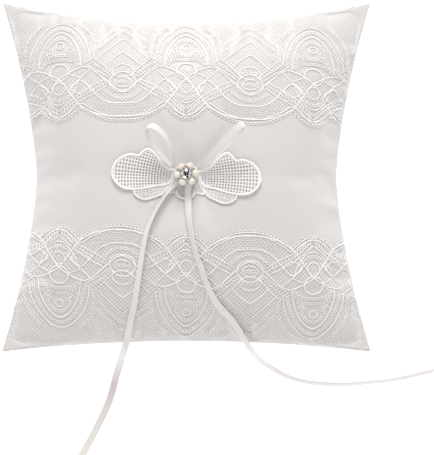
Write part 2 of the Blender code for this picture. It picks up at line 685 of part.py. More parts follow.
# ------------------------------------------------------------------ build
def build_all():
    satin = material("ivory_satin", (0.83, 0.80, 0.77), 0.42)
    lace = material("ivory_lace", (0.90, 0.88, 0.85), 0.75)
    fibre = material("white_fibre", (0.88, 0.88, 0.88), 0.95)
    ribbon = material("ivory_ribbon", (0.90, 0.88, 0.84), 0.35)
    silver = material("silver_metal", (0.75, 0.74, 0.72), 0.20, metallic=1.0)
    pearl = material("cream_pearl", (0.90, 0.85, 0.76), 0.18)
    clear = material("clear_crystal", (0.95, 0.95, 0.97), 0.02, transmission=1.0)
    thread = material("ivory_thread", (0.88, 0.86, 0.82), 0.70)
    front_cover(satin)
    back_cover(satin)
    fibre_filling(fibre)
    lace_band("upper_lace_band", 1, UPPER_BAND_EDGE, lace)
    lace_band("lower_lace_band", -1, LOWER_BAND_EDGE, lace)
    butterfly_body(lace)
    wing("butterfly_left_wing", -1, lace)
    wing("butterfly_right_wing", 1, lace)
    bow_knot(ribbon)
    bow_loop("bow_left_loop", LEFT_LOOP, ribbon)
    bow_loop("bow_right_loop", RIGHT_LOOP, ribbon)
    ribbon_tail("left_ribbon_tail", LEFT_TAIL_ROUTE, ribbon)
    ribbon_tail("right_ribbon_tail", RIGHT_TAIL_ROUTE, ribbon)
    axis = brooch_axis()
    brooch_base(silver, axis)
    brooch_shank(silver, axis)
    crystal_setting(silver, axis)
    crystal(clear, axis)
    pearls(pearl, axis)
    sewing_thread(thread)


clear_scene()
build_all()
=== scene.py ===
"""Ring bearer pillow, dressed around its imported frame.

A stuffed satin pillow lies on its back with a band of scalloped lace along each end. A lace butterfly, a
ribbon bow with two long tails and a button of pearls round a crystal are sewn to its middle. Lengths are in
metres, +X runs across the pillow, +Y towards its upper edge and +Z up out of its front.
"""
from __future__ import annotations

import logging
import math
from dataclasses import dataclass, field
from enum import Enum
from typing import Sequence

import bmesh
import bpy
import numpy as np
from mathutils import Matrix, Vector
from mathutils.bvhtree import BVHTree


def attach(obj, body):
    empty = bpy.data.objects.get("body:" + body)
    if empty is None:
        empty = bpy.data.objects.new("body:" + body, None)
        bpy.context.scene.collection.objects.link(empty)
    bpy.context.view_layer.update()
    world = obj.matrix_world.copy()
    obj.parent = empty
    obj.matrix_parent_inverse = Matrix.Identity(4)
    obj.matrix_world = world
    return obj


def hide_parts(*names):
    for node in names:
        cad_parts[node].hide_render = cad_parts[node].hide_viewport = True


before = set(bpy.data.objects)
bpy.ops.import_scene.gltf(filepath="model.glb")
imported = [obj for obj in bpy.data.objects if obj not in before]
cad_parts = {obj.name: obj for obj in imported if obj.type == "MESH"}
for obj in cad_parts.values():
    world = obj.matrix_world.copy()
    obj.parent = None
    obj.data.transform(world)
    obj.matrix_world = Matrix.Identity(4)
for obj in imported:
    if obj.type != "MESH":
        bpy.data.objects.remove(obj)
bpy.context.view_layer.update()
MM = 0.001
STRAND_UV = "strand"  # the UV map of threads, cords and ribbons
FLATTENED = 0.6  # height of a laid cord, as a share of its width
LIP = 0.35  # how much thicker a ribbon is at its woven edge, as a share of its thickness
log = logging.getLogger("ring_pillow")
Array = np.ndarray
Points = np.ndarray  # one point in each row
Pair = tuple[float, float]
Triple = tuple[float, float, float]
Piece = bpy.types.Object
Material = bpy.types.Material


# ------------------------------------------------------------------ small tools
def smooth_curve(points: Sequence[Sequence[float]], steps: int = 12, closed: bool = False) -> Points:
    """A Catmull-Rom curve through a few points.

    Args:
        points: the points that the curve passes.
        steps: how many short lines each stretch between two points becomes.
        closed: whether the last point runs on into the first.
    Returns:
        The curve's points, one row each. A closed curve doesn't repeat its first point.
    """
    p = np.asarray(points, float)
    if closed:
        ends = np.vstack([p[-1:], p, p[:2]])
    else:
        ends = np.vstack([2 * p[:1] - p[1:2], p, 2 * p[-1:] - p[-2:-1]])
    t = (np.arange(steps) / steps)[:, None]
    parts = [0.5 * (2 * b + (c - a) * t + (2 * a - 5 * b + 4 * c - d) * t**2 + (3 * b - a - 3 * c + d) * t**3)
             for a, b, c, d in zip(ends, ends[1:], ends[2:], ends[3:])]
    return np.vstack(parts if closed else parts + [p[-1:]])


def along(line: Points) -> Array:
    """The distance of each point of a line from its first point."""
    return np.concatenate([[0.0], np.cumsum(np.linalg.norm(np.diff(line, axis=0), axis=1))])


def evenly(line: Points, spacing: float = 0.0, count: int = 0) -> Points:
    """The same line with points at even distances.

    Args:
        line: the line's points.
        spacing: about how far apart the new points lie.
        count: how many points there are, where that matters more than the spacing.
    Returns:
        The new line's points, one row each.
    """
    travelled = along(line)
    count = count or max(2, round(travelled[-1] / spacing) + 1)
    wanted = np.linspace(0, travelled[-1], count)
    return np.stack([np.interp(wanted, travelled, line[:, k]) for k in range(line.shape[1])], 1)


def circle(centre: Sequence[float], radius: float, count: int, stretch: float = 1.0) -> Points:
    """Points round a circle in the plane, the second axis stretched."""
    angle = 2 * math.pi * np.arange(count) / count
    return np.stack([centre[0] + radius * np.cos(angle), centre[1] + radius * stretch * np.sin(angle)], 1)


def unit(vectors: Array) -> Array:
    """The same directions, each one long."""
    return vectors / np.maximum(np.linalg.norm(vectors, axis=-1, keepdims=True), 1e-12)


def stretches(mask: Array) -> list[slice]:
    """The runs of two or more that are true."""
    edges = np.flatnonzero(np.diff(np.concatenate([[0], mask.astype(int), [0]])))
    return [slice(a, b) for a, b in zip(edges[::2], edges[1::2]) if b - a > 1]


@dataclass(frozen=True)
class Thread:
    """A thread or cord, by the size of its oval section."""

    width: float
    height: float
    sides: int = 4

    def section(self) -> Points:
        """Its outline, as (sideways, upwards) points."""
        angle = 2 * math.pi * (np.arange(self.sides) + 0.5) / self.sides
        return np.stack([self.width / 2 * np.cos(angle), self.height / 2 * np.sin(angle)], 1)


def ribbon_section(width: float, thickness: float, crown: float) -> Points:
    """The outline of a ribbon with a thicker woven edge, bowed a little across its width.

    Args:
        width: the ribbon's width.
        thickness: its thickness away from the edges.
        crown: how far its middle stands above its edges.
    Returns:
        The outline, as (sideways, upwards) points.
    """
    edge, lip = width / 2, thickness * LIP
    across = np.array([-1.0, -0.93, -0.86, -0.45, 0.0, 0.45, 0.86, 0.93, 1.0]) * edge
    extra = np.array([-0.2, 1.0, 0.2, 0.0, 0.0, 0.0, 0.2, 1.0, -0.2]) * lip
    bow = crown * (1 - (across / edge) ** 2)
    top = np.stack([across, bow + thickness / 2 + extra], 1)
    bottom = np.stack([across, bow - thickness / 2 - extra], 1)[::-1]
    return np.vstack([bottom, top])


class StrandMesh:
    """Threads, cords and ribbons gathered into one mesh.

    Its UV map runs once round each strand in U and along it in V, in metres.
    """

    def __init__(self) -> None:
        """Starts without strands."""
        self.points: list[Array] = []
        self.corners: list[Array] = []
        self.sizes: list[Array] = []
        self.uvs: list[Array] = []
        self.count = 0

    def sweep(self, line: Points, up: Array, section: Points, closed: bool = False,
              scale: Array | None = None) -> None:
        """Adds a strand.

        Args:
            line: its middle, one point in each row.
            up: the direction away from the cloth at each point, or one for all.
            section: its outline, as (sideways, upwards) points.
            closed: whether it joins up with its own start.
            scale: how large the outline is at each point, where that changes.
        """
        n, m = len(line), len(section)
        if closed:
            ahead = np.roll(line, -1, 0) - np.roll(line, 1, 0)
        else:
            ahead = np.gradient(line, axis=0)
        up = np.broadcast_to(np.asarray(up, float), line.shape)
        side = unit(np.cross(ahead, up))
        lift = unit(np.cross(side, ahead))
        size = np.ones(n) if scale is None else scale
        offset = side[:, None] * section[None, :, :1] + lift[:, None] * section[None, :, 1:]
        ring = line[:, None] + offset * size[:, None, None]
        self.points.append(ring.reshape(-1, 3))
        turns = section[:, 0] * np.roll(section[:, 1], -1) - section[:, 1] * np.roll(section[:, 0], -1)
        i = np.arange(n if closed else n - 1)[:, None]
        j = np.arange(m)[None, :]
        k, l = (i + 1) % n, (j + 1) % m
        quad = np.stack([i * m + j, k * m + j, k * m + l, i * m + l], -1)
        distance = np.concatenate([along(line), [along(line)[-1] + np.linalg.norm(line[-1] - line[0])]])
        v0, v1 = distance[i] + 0 * j, distance[i + 1] + 0 * j
        u0, u1 = (j + 0 * i) / m, (j + 1 + 0 * i) / m
        uv = np.stack([np.stack([u0, v0], -1), np.stack([u0, v1], -1), np.stack([u1, v1], -1),
                       np.stack([u1, v0], -1)], -2)
        if turns.sum() < 0:
            quad, uv = quad[..., ::-1], uv[..., ::-1, :]
        self.corners.append((quad + self.count).reshape(-1))
        self.sizes.append(np.full(quad.shape[0] * quad.shape[1], 4))
        self.uvs.append(uv.reshape(-1, 2))
        if not closed:
            caps = [np.arange(m), np.arange(m)[::-1] + (n - 1) * m]
            for cap, place in zip(caps, (distance[0], distance[n - 1])):
                cap = cap[::-1] if turns.sum() < 0 else cap
                self.corners.append(cap + self.count)
                self.sizes.append(np.array([m]))
                self.uvs.append(np.stack([np.zeros(m), np.full(m, place)], 1))
        self.count += n * m

    def made(self, name: str) -> Piece:
        """The strands as one object, linked to the scene.

        Args:
            name: what the object is called.
        Returns:
            The object.
        """
        mesh = bpy.data.meshes.new(name)
        points, corners = np.vstack(self.points), np.concatenate(self.corners)
        sizes = np.concatenate(self.sizes)
        mesh.vertices.add(len(points))
        mesh.vertices.foreach_set("co", points.astype(np.float32).ravel())
        mesh.loops.add(len(corners))
        mesh.loops.foreach_set("vertex_index", corners.astype(np.int32))
        mesh.polygons.add(len(sizes))
        mesh.polygons.foreach_set("loop_start", (np.cumsum(sizes) - sizes).astype(np.int32))
        mesh.polygons.foreach_set("use_smooth", np.ones(len(sizes), bool))
        uvs = np.vstack(self.uvs).astype(np.float32)
        mesh.uv_layers.new(name=STRAND_UV).data.foreach_set("uv", uvs.ravel())
        mesh.update(calc_edges=True)
        mesh.validate()
        made = bpy.data.objects.new(name, mesh)
        bpy.context.scene.collection.objects.link(made)
        return made


def only(thing: Piece) -> None:
    """Selects one object and nothing else, and makes it the active one.

    Args:
        thing: the object.
    """
    if bpy.context.mode != "OBJECT":
        bpy.ops.object.mode_set(mode="OBJECT")
    bpy.ops.object.select_all(action="DESELECT")
    thing.select_set(True)
    bpy.context.view_layer.objects.active = thing


def apply_all(thing: Piece) -> None:
    """Applies an object's modifiers in order.

    Args:
        thing: the object.
    """
    only(thing)
    for change in list(thing.modifiers):
        bpy.ops.object.modifier_apply(modifier=change.name)


def settled(thing: Piece, name: str) -> Piece:
    """Names an object and moves its place and turn into its mesh.

    Args:
        thing: the object.
        name: its name.
    Returns:
        The same object.
    """
    only(thing)
    bpy.ops.object.transform_apply(location=True, rotation=True, scale=True)
    thing.name = thing.data.name = name
    return thing


def dress(thing: Piece, finish: Material, body: str) -> Piece:
    """Gives a piece its material and its slot and lets it ride on a body.

    Args:
        thing: the piece.
        finish: its material.
        body: the body that it moves with.
    Returns:
        The same piece.
    """
    thing.data.materials.clear()
    thing.data.materials.append(finish)
    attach(thing, body)
    log.info("%s: %d faces, rides on %s", thing.name, len(thing.data.polygons), body)
    return thing


# ------------------------------------------------------------------ finishes
class NodeSheet:
    """A node tree with short ways to add nodes and join them."""

    def __init__(self, tree: bpy.types.NodeTree) -> None:
        """Takes the tree that the nodes go into."""
        self.tree = tree

    def node(self, kind: str, **values: object) -> bpy.types.Node:
        """Adds a node and sets its properties and sockets.

        Args:
            kind: the node's type.
            values: its properties, and its sockets by name.
        Returns:
            The node.
        """
        made = self.tree.nodes.new(kind)
        for key, value in values.items():
            if hasattr(made, key):
                setattr(made, key, value)
            else:
                self.feed(made.inputs[key.replace("_", " ").title()], value)
        return made

    def feed(self, socket: bpy.types.NodeSocket, value: object) -> None:
        """Joins another node's socket to this one, or sets this one's value.

        Args:
            socket: the input.
            value: another socket, or a plain value.
        """
        if isinstance(value, bpy.types.NodeSocket):
            self.tree.links.new(value, socket)
        else:
            socket.default_value = value

    def sum(self, operation: str, *values: object) -> bpy.types.NodeSocket:
        """The result of a Math node.

        Args:
            operation: what it does.
            values: its inputs, in order.
        Returns:
            Its output.
        """
        made = self.tree.nodes.new("ShaderNodeMath")
        made.operation = operation
        for socket, value in zip(made.inputs, values):
            self.feed(socket, value)
        return made.outputs[0]

    def noise(self, place: bpy.types.NodeSocket, scale: object, detail: float = 2.0) -> bpy.types.NodeSocket:
        """The value of a Noise node.

        Args:
            place: where the noise is looked up.
            scale: how fine it is.
            detail: how many finer layers it has.
        Returns:
            Its output.
        """
        made = self.node("ShaderNodeTexNoise", vector=place)
        self.feed(made.inputs["Scale"], scale)
        made.inputs["Detail"].default_value = detail
        return made.outputs["Fac"]


def effect_group(name: str, inputs: Sequence[tuple[str, str, object]],
                 outputs: Sequence[tuple[str, str]]) -> tuple[bpy.types.NodeTree, NodeSheet, dict, dict]:
    """Starts a node group with named sockets.

    Args:
        name: the group's name.
        inputs: a name, a socket type and a value for each input.
        outputs: a name and a socket type for each output.
    Returns:
        The group, its sheet, its inputs by name and its output sockets by name.
    """
    tree = bpy.data.node_groups.new(name, "ShaderNodeTree")
    for label, kind, value in inputs:
        tree.interface.new_socket(label, in_out="INPUT", socket_type=kind).default_value = value
    for label, kind in outputs:
        tree.interface.new_socket(label, in_out="OUTPUT", socket_type=kind)
    sheet = NodeSheet(tree)
    start, end = tree.nodes.new("NodeGroupInput"), tree.nodes.new("NodeGroupOutput")
    given = {label: start.outputs[label] for label, _, _ in inputs}
    wanted = {label: end.inputs[label] for label, _ in outputs}
    return tree, sheet, given, wanted


class Effects:
    """The shader effects that several finishes share, each built once."""

    FLOAT, COLOUR = "NodeSocketFloat", "NodeSocketColor"

    def __init__(self) -> None:
        """Builds the groups."""
        self.mottle = self._mottle()
        self.weave = self._weave()
        self.twist = self._twist()
        self.fuzz = self._fuzz()

    def _mottle(self) -> bpy.types.NodeTree:
        """Soft patches in which a colour is a little deeper.

        Returns:
            The group, with the colour and a mask of the patches.
        """
        tree, sheet, given, wanted = effect_group(
            "mottled_tint",
            [("Colour", self.COLOUR, (1, 1, 1, 1)), ("Deeper", self.COLOUR, (0.9, 0.9, 0.9, 1)),
             ("Patches", self.FLOAT, 60.0), ("Amount", self.FLOAT, 0.5)],
            [("Colour", self.COLOUR), ("Patch", self.FLOAT)])
        place = sheet.node("ShaderNodeTexCoord").outputs["Object"]
        patch = sheet.noise(place, given["Patches"], 3.0)
        spread = sheet.node("ShaderNodeMapRange")
        for name, value in (("Value", patch), ("From Min", 0.35), ("From Max", 0.65)):
            sheet.feed(spread.inputs[name], value)
        share = sheet.sum("MULTIPLY", spread.outputs[0], given["Amount"])
        mix = sheet.node("ShaderNodeMix", data_type="RGBA")
        sheet.feed(mix.inputs["Factor"], share)
        sheet.feed(mix.inputs[6], given["Colour"])
        sheet.feed(mix.inputs[7], given["Deeper"])
        sheet.feed(wanted["Colour"], mix.outputs[2])
        sheet.feed(wanted["Patch"], spread.outputs[0])
        return tree

    def _weave(self) -> bpy.types.NodeTree:
        """Fine floats of a satin weave, with a slub here and there.

        Returns:
            The group, with the height of the threads.
        """
        tree, sheet, given, wanted = effect_group(
            "satin_weave", [("Threads", self.FLOAT, 4000.0), ("Slubs", self.FLOAT, 0.4)],
            [("Height", self.FLOAT)])
        place = sheet.node("ShaderNodeTexCoord").outputs["Object"]
        heights = []
        for stretch in ((1.0, 0.12, 0.3), (0.12, 1.0, 0.3)):
            turned = sheet.node("ShaderNodeMapping", vector=place)
            turned.inputs["Scale"].default_value = stretch
            heights.append(sheet.noise(turned.outputs[0], given["Threads"], 1.0))
        floats = sheet.sum("MULTIPLY", heights[0], 0.7)
        both = sheet.sum("ADD", floats, sheet.sum("MULTIPLY", heights[1], 0.3))
        slub_place = sheet.node("ShaderNodeMapping", vector=place)
        slub_place.inputs["Scale"].default_value = (30.0, 900.0, 300.0)
        slub = sheet.noise(slub_place.outputs[0], 1.0, 2.0)
        thick = sheet.sum("MAXIMUM", sheet.sum("SUBTRACT", slub, 0.58), 0.0)
        slubs = sheet.sum("MULTIPLY", thick, given["Slubs"])
        sheet.feed(wanted["Height"], sheet.sum("ADD", both, slubs))
        return tree

    def _twist(self) -> bpy.types.NodeTree:
        """The turns of thread wound round a cord, from the cord's own UV map.

        Returns:
            The group, with the height of the turns.
        """
        tree, sheet, given, wanted = effect_group(
            "wound_thread", [("Turns", self.FLOAT, 1500.0), ("Starts", self.FLOAT, 1.0)],
            [("Height", self.FLOAT)])
        uv = sheet.node("ShaderNodeUVMap", uv_map=STRAND_UV).outputs[0]
        parts = sheet.node("ShaderNodeSeparateXYZ")
        sheet.feed(parts.inputs[0], uv)
        turns = sheet.sum("MULTIPLY", parts.outputs[1], given["Turns"])
        phase = sheet.sum("ADD", turns, sheet.sum("MULTIPLY", parts.outputs[0], given["Starts"]))
        wave = sheet.sum("SINE", sheet.sum("MULTIPLY", phase, 2 * math.pi))
        sheet.feed(wanted["Height"], sheet.sum("ABSOLUTE", wave))
        return tree

    def _fuzz(self) -> bpy.types.NodeTree:
        """Loose fibres on the face of a thread.

        Returns:
            The group, with the height of the fibres.
        """
        tree, sheet, given, wanted = effect_group(
            "fibre_fuzz", [("Fibres", self.FLOAT, 2500.0)], [("Height", self.FLOAT)])
        place = sheet.node("ShaderNodeTexCoord").outputs["Object"]
        sheet.feed(wanted["Height"], sheet.noise(place, given["Fibres"], 4.0))
        return tree


@dataclass(frozen=True)
class Finish:
    """One finish: its colours, its gloss and the shared effects that it carries."""

    name: str
    colour: Triple
    deeper: Triple
    roughness: Pair  # on its smoothest and its roughest patches
    patches: float = 60.0  # patches of the tint in a metre
    amount: float = 0.5
    metallic: float = 0.0
    sheen: float = 0.0
    coat: float = 0.0
    subsurface: float = 0.0
    weave: float = 0.0  # depths of the effects, in metres
    weave_threads: float = 4000.0
    twist: float = 0.0
    twist_turns: float = 1500.0
    fuzz: float = 0.0
    fuzz_fibres: float = 2500.0
    coat_roughness: float = 0.08
    subsurface_scale: float = 0.0015

    def material(self, effects: Effects) -> Material:
        """The finish as a Blender material.

        Args:
            effects: the shared effects.
        Returns:
            The material.
        """
        made = bpy.data.materials.new(self.name)
        made.use_nodes = True
        sheet = NodeSheet(made.node_tree)
        shader = made.node_tree.nodes["Principled BSDF"]
        made.diffuse_color = (*self.colour, 1.0)
        tint = sheet.node("ShaderNodeGroup", node_tree=effects.mottle)
        for name, value in (("Colour", (*self.colour, 1.0)), ("Deeper", (*self.deeper, 1.0)),
                            ("Patches", self.patches), ("Amount", self.amount)):
            tint.inputs[name].default_value = value
        gloss = sheet.node("ShaderNodeMapRange")
        sheet.feed(gloss.inputs["Value"], tint.outputs["Patch"])
        gloss.inputs["To Min"].default_value, gloss.inputs["To Max"].default_value = self.roughness
        sheet.feed(shader.inputs["Base Color"], tint.outputs["Colour"])
        sheet.feed(shader.inputs["Roughness"], gloss.outputs[0])
        shader.inputs["Metallic"].default_value = self.metallic
        shader.inputs["Sheen Weight"].default_value = self.sheen
        shader.inputs["Coat Weight"].default_value = self.coat
        shader.inputs["Coat Roughness"].default_value = self.coat_roughness
        shader.inputs["Subsurface Weight"].default_value = self.subsurface
        shader.inputs["Subsurface Scale"].default_value = self.subsurface_scale
        self._bumps(sheet, effects, shader)
        return made

    def _bumps(self, sheet: NodeSheet, effects: Effects, shader: bpy.types.Node) -> None:
        """Chains a Bump node for each of the finish's effects.

        Args:
            sheet: the material's nodes.
            effects: the shared effects.
            shader: the shader that takes the normal.
        """
        settings = ((self.weave, effects.weave, "Threads", self.weave_threads),
                    (self.twist, effects.twist, "Turns", self.twist_turns),
                    (self.fuzz, effects.fuzz, "Fibres", self.fuzz_fibres))
        normal = None
        for depth, group, label, value in settings:
            if not depth:
                continue
            effect = sheet.node("ShaderNodeGroup", node_tree=group)
            effect.inputs[label].default_value = value
            bump = sheet.node("ShaderNodeBump")
            bump.inputs["Distance"].default_value = depth
            sheet.feed(bump.inputs["Height"], effect.outputs["Height"])
            if normal:
                sheet.feed(bump.inputs["Normal"], normal)
            normal = bump.outputs[0]
        if normal:
            sheet.feed(shader.inputs["Normal"], normal)


@dataclass(frozen=True)
class CrystalFinish:
    """Clear cut glass."""

    name: str = "cut_crystal"
    colour: Triple = (0.97, 0.98, 1.0)
    refraction: float = 1.55

    def material(self) -> Material:
        """The finish as a Blender material.

        Returns:
            The material.
        """
        made = bpy.data.materials.new(self.name)
        made.use_nodes = True
        shader = made.node_tree.nodes["Principled BSDF"]
        shader.inputs["Base Color"].default_value = (*self.colour, 1.0)
        shader.inputs["Roughness"].default_value = 0.0
        shader.inputs["IOR"].default_value = self.refraction
        shader.inputs["Transmission Weight"].default_value = 1.0
        made.diffuse_color = (*self.colour, 1.0)
        return made


@dataclass
class Wardrobe:
    """Every finish of the pillow, made once."""

    effects: Effects = field(default_factory=Effects)

    def __post_init__(self) -> None:
        """Builds the materials."""
        finishes = {
            "satin": Finish("ivory_satin", (0.665, 0.645, 0.636), (0.64, 0.62, 0.61), (0.42, 0.52),
                            patches=18, sheen=0.25, weave=0.00003, weave_threads=3500),
            "net": Finish("lace_net_thread", (0.98, 0.955, 0.945), (0.95, 0.925, 0.915), (0.60, 0.75),
                          patches=300, sheen=0.3, fuzz=0.00003),
            "cord": Finish("lace_cord_thread", (0.99, 0.965, 0.955), (0.96, 0.935, 0.925), (0.50, 0.65),
                           patches=400, sheen=0.3, twist=0.00006, twist_turns=1300, fuzz=0.00002),
            "stitch": Finish("satin_stitch", (0.955, 0.935, 0.92), (0.91, 0.89, 0.875), (0.42, 0.60),
                             patches=500, sheen=0.5, twist=0.00004, twist_turns=1900, fuzz=0.00001),
            "ribbon": Finish("ivory_ribbon", (0.78, 0.765, 0.745), (0.75, 0.735, 0.71), (0.34, 0.46),
                             patches=120, sheen=0.2, weave=0.00003, weave_threads=5000, subsurface=0.1),
            "silver": Finish("plated_silver", (0.80, 0.79, 0.77), (0.55, 0.53, 0.50), (0.12, 0.28),
                             patches=700, metallic=1.0, fuzz=0.00001, fuzz_fibres=1500),
            "foil": Finish("silvered_foil", (0.95, 0.95, 0.96), (0.90, 0.90, 0.92), (0.03, 0.08),
                           patches=900, metallic=1.0),
            # painted reflection: a near-black finish for some of the crystal's facets, standing in for the
            # dark reflections of a cut stone
            "shade": Finish("painted_dark_reflection", (0.012, 0.012, 0.014), (0.03, 0.03, 0.03), (0.10, 0.16),
                            patches=900, coat=0.3),
            "pearl": Finish("cream_pearl", (0.84, 0.79, 0.71), (0.74, 0.67, 0.57), (0.14, 0.24),
                            patches=350, coat=0.6, subsurface=0.2, fuzz=0.000006, fuzz_fibres=900),
            "thread": Finish("sewing_thread", (0.88, 0.86, 0.82), (0.80, 0.78, 0.74), (0.55, 0.70),
                             patches=900, sheen=0.2, fuzz=0.00006, fuzz_fibres=3000),
        }
        self.materials = {key: finish.material(self.effects) for key, finish in finishes.items()}
        self.materials["crystal"] = CrystalFinish().material()

    def __getitem__(self, key: str) -> Material:
        """The material of that finish."""
        return self.materials[key]


# ------------------------------------------------------------------ pillow
@dataclass
class Pillow:
    """The stuffed satin pillow, and the surface of its front, which all that is sewn to it follows."""

    width: float = 0.210  # ear to ear, along X
    length: float = 0.200  # ear to ear, along Y
    side_pull_in: float = 0.0194  # how far the side seams curve in at their middles
    top_pull_in: float = 0.0110
    bottom_pull_in: float = 0.0060
    side_curve: float = 1.5
    seam_height: float = 0.0243
    front_height: float = 0.0342
    back_bulge: float = 0.0270
    crown_curve: float = 2.2
    edge_steepness: float = 0.65
    dimple_depth: float = 0.0036
    dimple_radius: float = 0.019
    crease_depth: float = 0.0019
    crease_width: float = 0.015
    columns: int = 76
    rows: int = 70
    even_half_width: float = 0.088  # half of the cover along the lines that its grid is evened on
    even_half_length: float = 0.092
    profile_share: float = 0.85  # how much of the crown's height the cloth climbs along such a line
    profile_points: int = 2000
    solve_rounds: int = 14  # in which a place seen from above is followed back to the cover
    table_stop: float = 0.999  # how much of the seam's height the back bulges before the table stops it
    tuft_radius: float = 0.006  # of the satin that the button's thread holds
    cloth_quality: int = 6
    cloth_mass: float = 0.2
    stretch_stiffness: float = 12.0
    shear_stiffness: float = 4.0
    bend_stiffness: float = 0.4
    cloth_growth: float = 0.012
    slack: float = 0.985  # how much smaller the sewn shape is before it is stuffed
    pressure: float = 4.0
    frames: int = 20
    cap: float = 0.0022  # how far the stuffing may move the satin
    pucker_depth: float = 0.00045
    pucker_reach: float = 0.013
    pucker_waves: tuple[float, ...] = (0.0075, 0.011, 0.017, 0.026)
    pucker_sum: float = 1.5  # about how high the waves stand together
    pucker_start: float = 0.0015  # from the seam, where the waves reach their height
    pucker_corner: float = 0.030  # from the next seam, where they begin to fade
    pucker_seed: int = 7
    seam_crispness: float = 0.75
    normal_reach: float = 0.4  # steps of the grid over which a direction is measured

    def __post_init__(self) -> None:
        """Works out even lines across the cover."""
        self.tuft_y = (self.bottom_pull_in - self.top_pull_in) / 2
        self.u_lines = self._even_lines(self.columns, self.even_half_width)
        self.v_lines = self._even_lines(self.rows, self.even_half_length)
        self.grid = np.zeros((self.rows + 1, self.columns + 1, 3))

    def profile(self, half: float) -> tuple[Array, Array]:
        """Places from 0 to 1 across half of a cover, and the distance along the cloth to each.

        Args:
            half: how wide that half is.
        Returns:
            The places and the distances.
        """
        u = np.sin(np.pi / 2 * np.linspace(0, 1, self.profile_points))
        crown = np.maximum(1 - u**self.crown_curve, 0) ** self.edge_steepness
        height = self.profile_share * self.front_height * crown
        return u, along(np.stack([u * half, height], 1))

    def _even_lines(self, count: int, half: float) -> Array:
        """Places from -1 to 1 that are even along the cloth.

        Args:
            count: how many steps there are.
            half: how wide half of the cover is.
        Returns:
            The places.
        """
        u, travelled = self.profile(half)
        wanted = np.linspace(-1, 1, count + 1)
        return np.sign(wanted) * np.interp(np.abs(wanted), travelled / travelled[-1], u)

    def plan(self, u: Array, v: Array) -> tuple[Array, Array]:
        """Places seen from above of points of the cover, from -1 to 1 across it each way.

        Args:
            u: how far across, -1 to 1.
            v: how far along, -1 to 1.
        Returns:
            X and Y.
        """
        half_width = self.width / 2 - self.side_pull_in * (1 - np.abs(v) ** self.side_curve)
        pull_in = np.where(v > 0, self.top_pull_in, self.bottom_pull_in)
        return u * half_width, v * (self.length / 2 - pull_in * (1 - u * u))

    def across(self, x: Array, y: Array) -> tuple[Array, Array]:
        """The turned-round form of plan. Places beyond a seam come out beyond -1 or 1.

        Args:
            x: places across the pillow.
            y: places along it.
        Returns:
            How far across and along the cover they are.
        """
        u = v = np.zeros(np.broadcast(x, y).shape)
        for _ in range(self.solve_rounds):
            narrower = self.side_pull_in * (1 - np.minimum(np.abs(v), 1) ** self.side_curve)
            u = x / (self.width / 2 - narrower)
            pull_in = np.where(y > 0, self.top_pull_in, self.bottom_pull_in)
            v = y / (self.length / 2 - pull_in * (1 - np.minimum(u * u, 1)))
        return u, v

    def crown(self, u: Array, v: Array) -> Array:
        """1 at the middle of a cover and 0 along its seams."""
        rise = (1 - np.abs(u) ** self.crown_curve) * (1 - np.abs(v) ** self.crown_curve)
        return np.maximum(rise, 0) ** self.edge_steepness

    def front_rise(self, u: Array, v: Array) -> Array:
        """Height of the front above the seam.

        Args:
            u: how far across, -1 to 1.
            v: how far along, -1 to 1.
        Returns:
            The heights.
        """
        x, y = self.plan(u, v)
        away = y - self.tuft_y
        dimple = self.dimple_depth * np.exp(-(x * x + away * away) / self.dimple_radius**2)
        crease = self.crease_depth * np.exp(-np.abs(away) / self.crease_width)
        return self.front_height * self.crown(u, v) - (dimple + crease) * (1 - u * u)

    def _cover(self, front: bool, scale: float) -> Points:
        """The grid of a cover's points, the height scaled.

        Args:
            front: whether it is the front cover.
            scale: how much of its height it gets.
        Returns:
            The points, by row and column.
        """
        u, v = np.meshgrid(self.u_lines, self.v_lines)
        x, y = self.plan(u, v)
        if front:
            z = self.seam_height + self.front_rise(u, v) * scale
        else:
            bulge = self.back_bulge * self.crown(u, v) * scale
            z = self.seam_height - np.minimum(self.seam_height * self.table_stop, bulge)
        return np.stack([x, y, z], -1)

    def _sewn(self) -> Piece:
        """Both covers, joined all round along the seam.

        Returns:
            The pillow, not yet stuffed.
        """
        front, back = self._cover(True, self.slack), self._cover(False, self.slack)
        rows, columns = front.shape[:2]
        index = np.arange(rows * columns).reshape(rows, columns)
        inner = np.zeros((rows, columns), bool)
        inner[1:-1, 1:-1] = True
        under = index.copy()
        under[inner] = rows * columns + np.arange(inner.sum())
        points = np.vstack([front.reshape(-1, 3), back[inner]])

        def quads(grid: Array) -> Array:
            """The corners of each face of a grid of points."""
            return np.stack([grid[:-1, :-1], grid[:-1, 1:], grid[1:, 1:], grid[1:, :-1]], -1).reshape(-1, 4)
        faces = np.vstack([quads(index), quads(under)[:, ::-1]])
        mesh = bpy.data.meshes.new("satin_pillow")
        mesh.from_pydata(points.tolist(), [], faces.tolist())
        mesh.shade_smooth()
        made = bpy.data.objects.new("satin_pillow", mesh)
        bpy.context.scene.collection.objects.link(made)
        self.seam = np.concatenate([index[0, :-1], index[:-1, -1], index[-1, :0:-1], index[:0:-1, 0]])
        return made

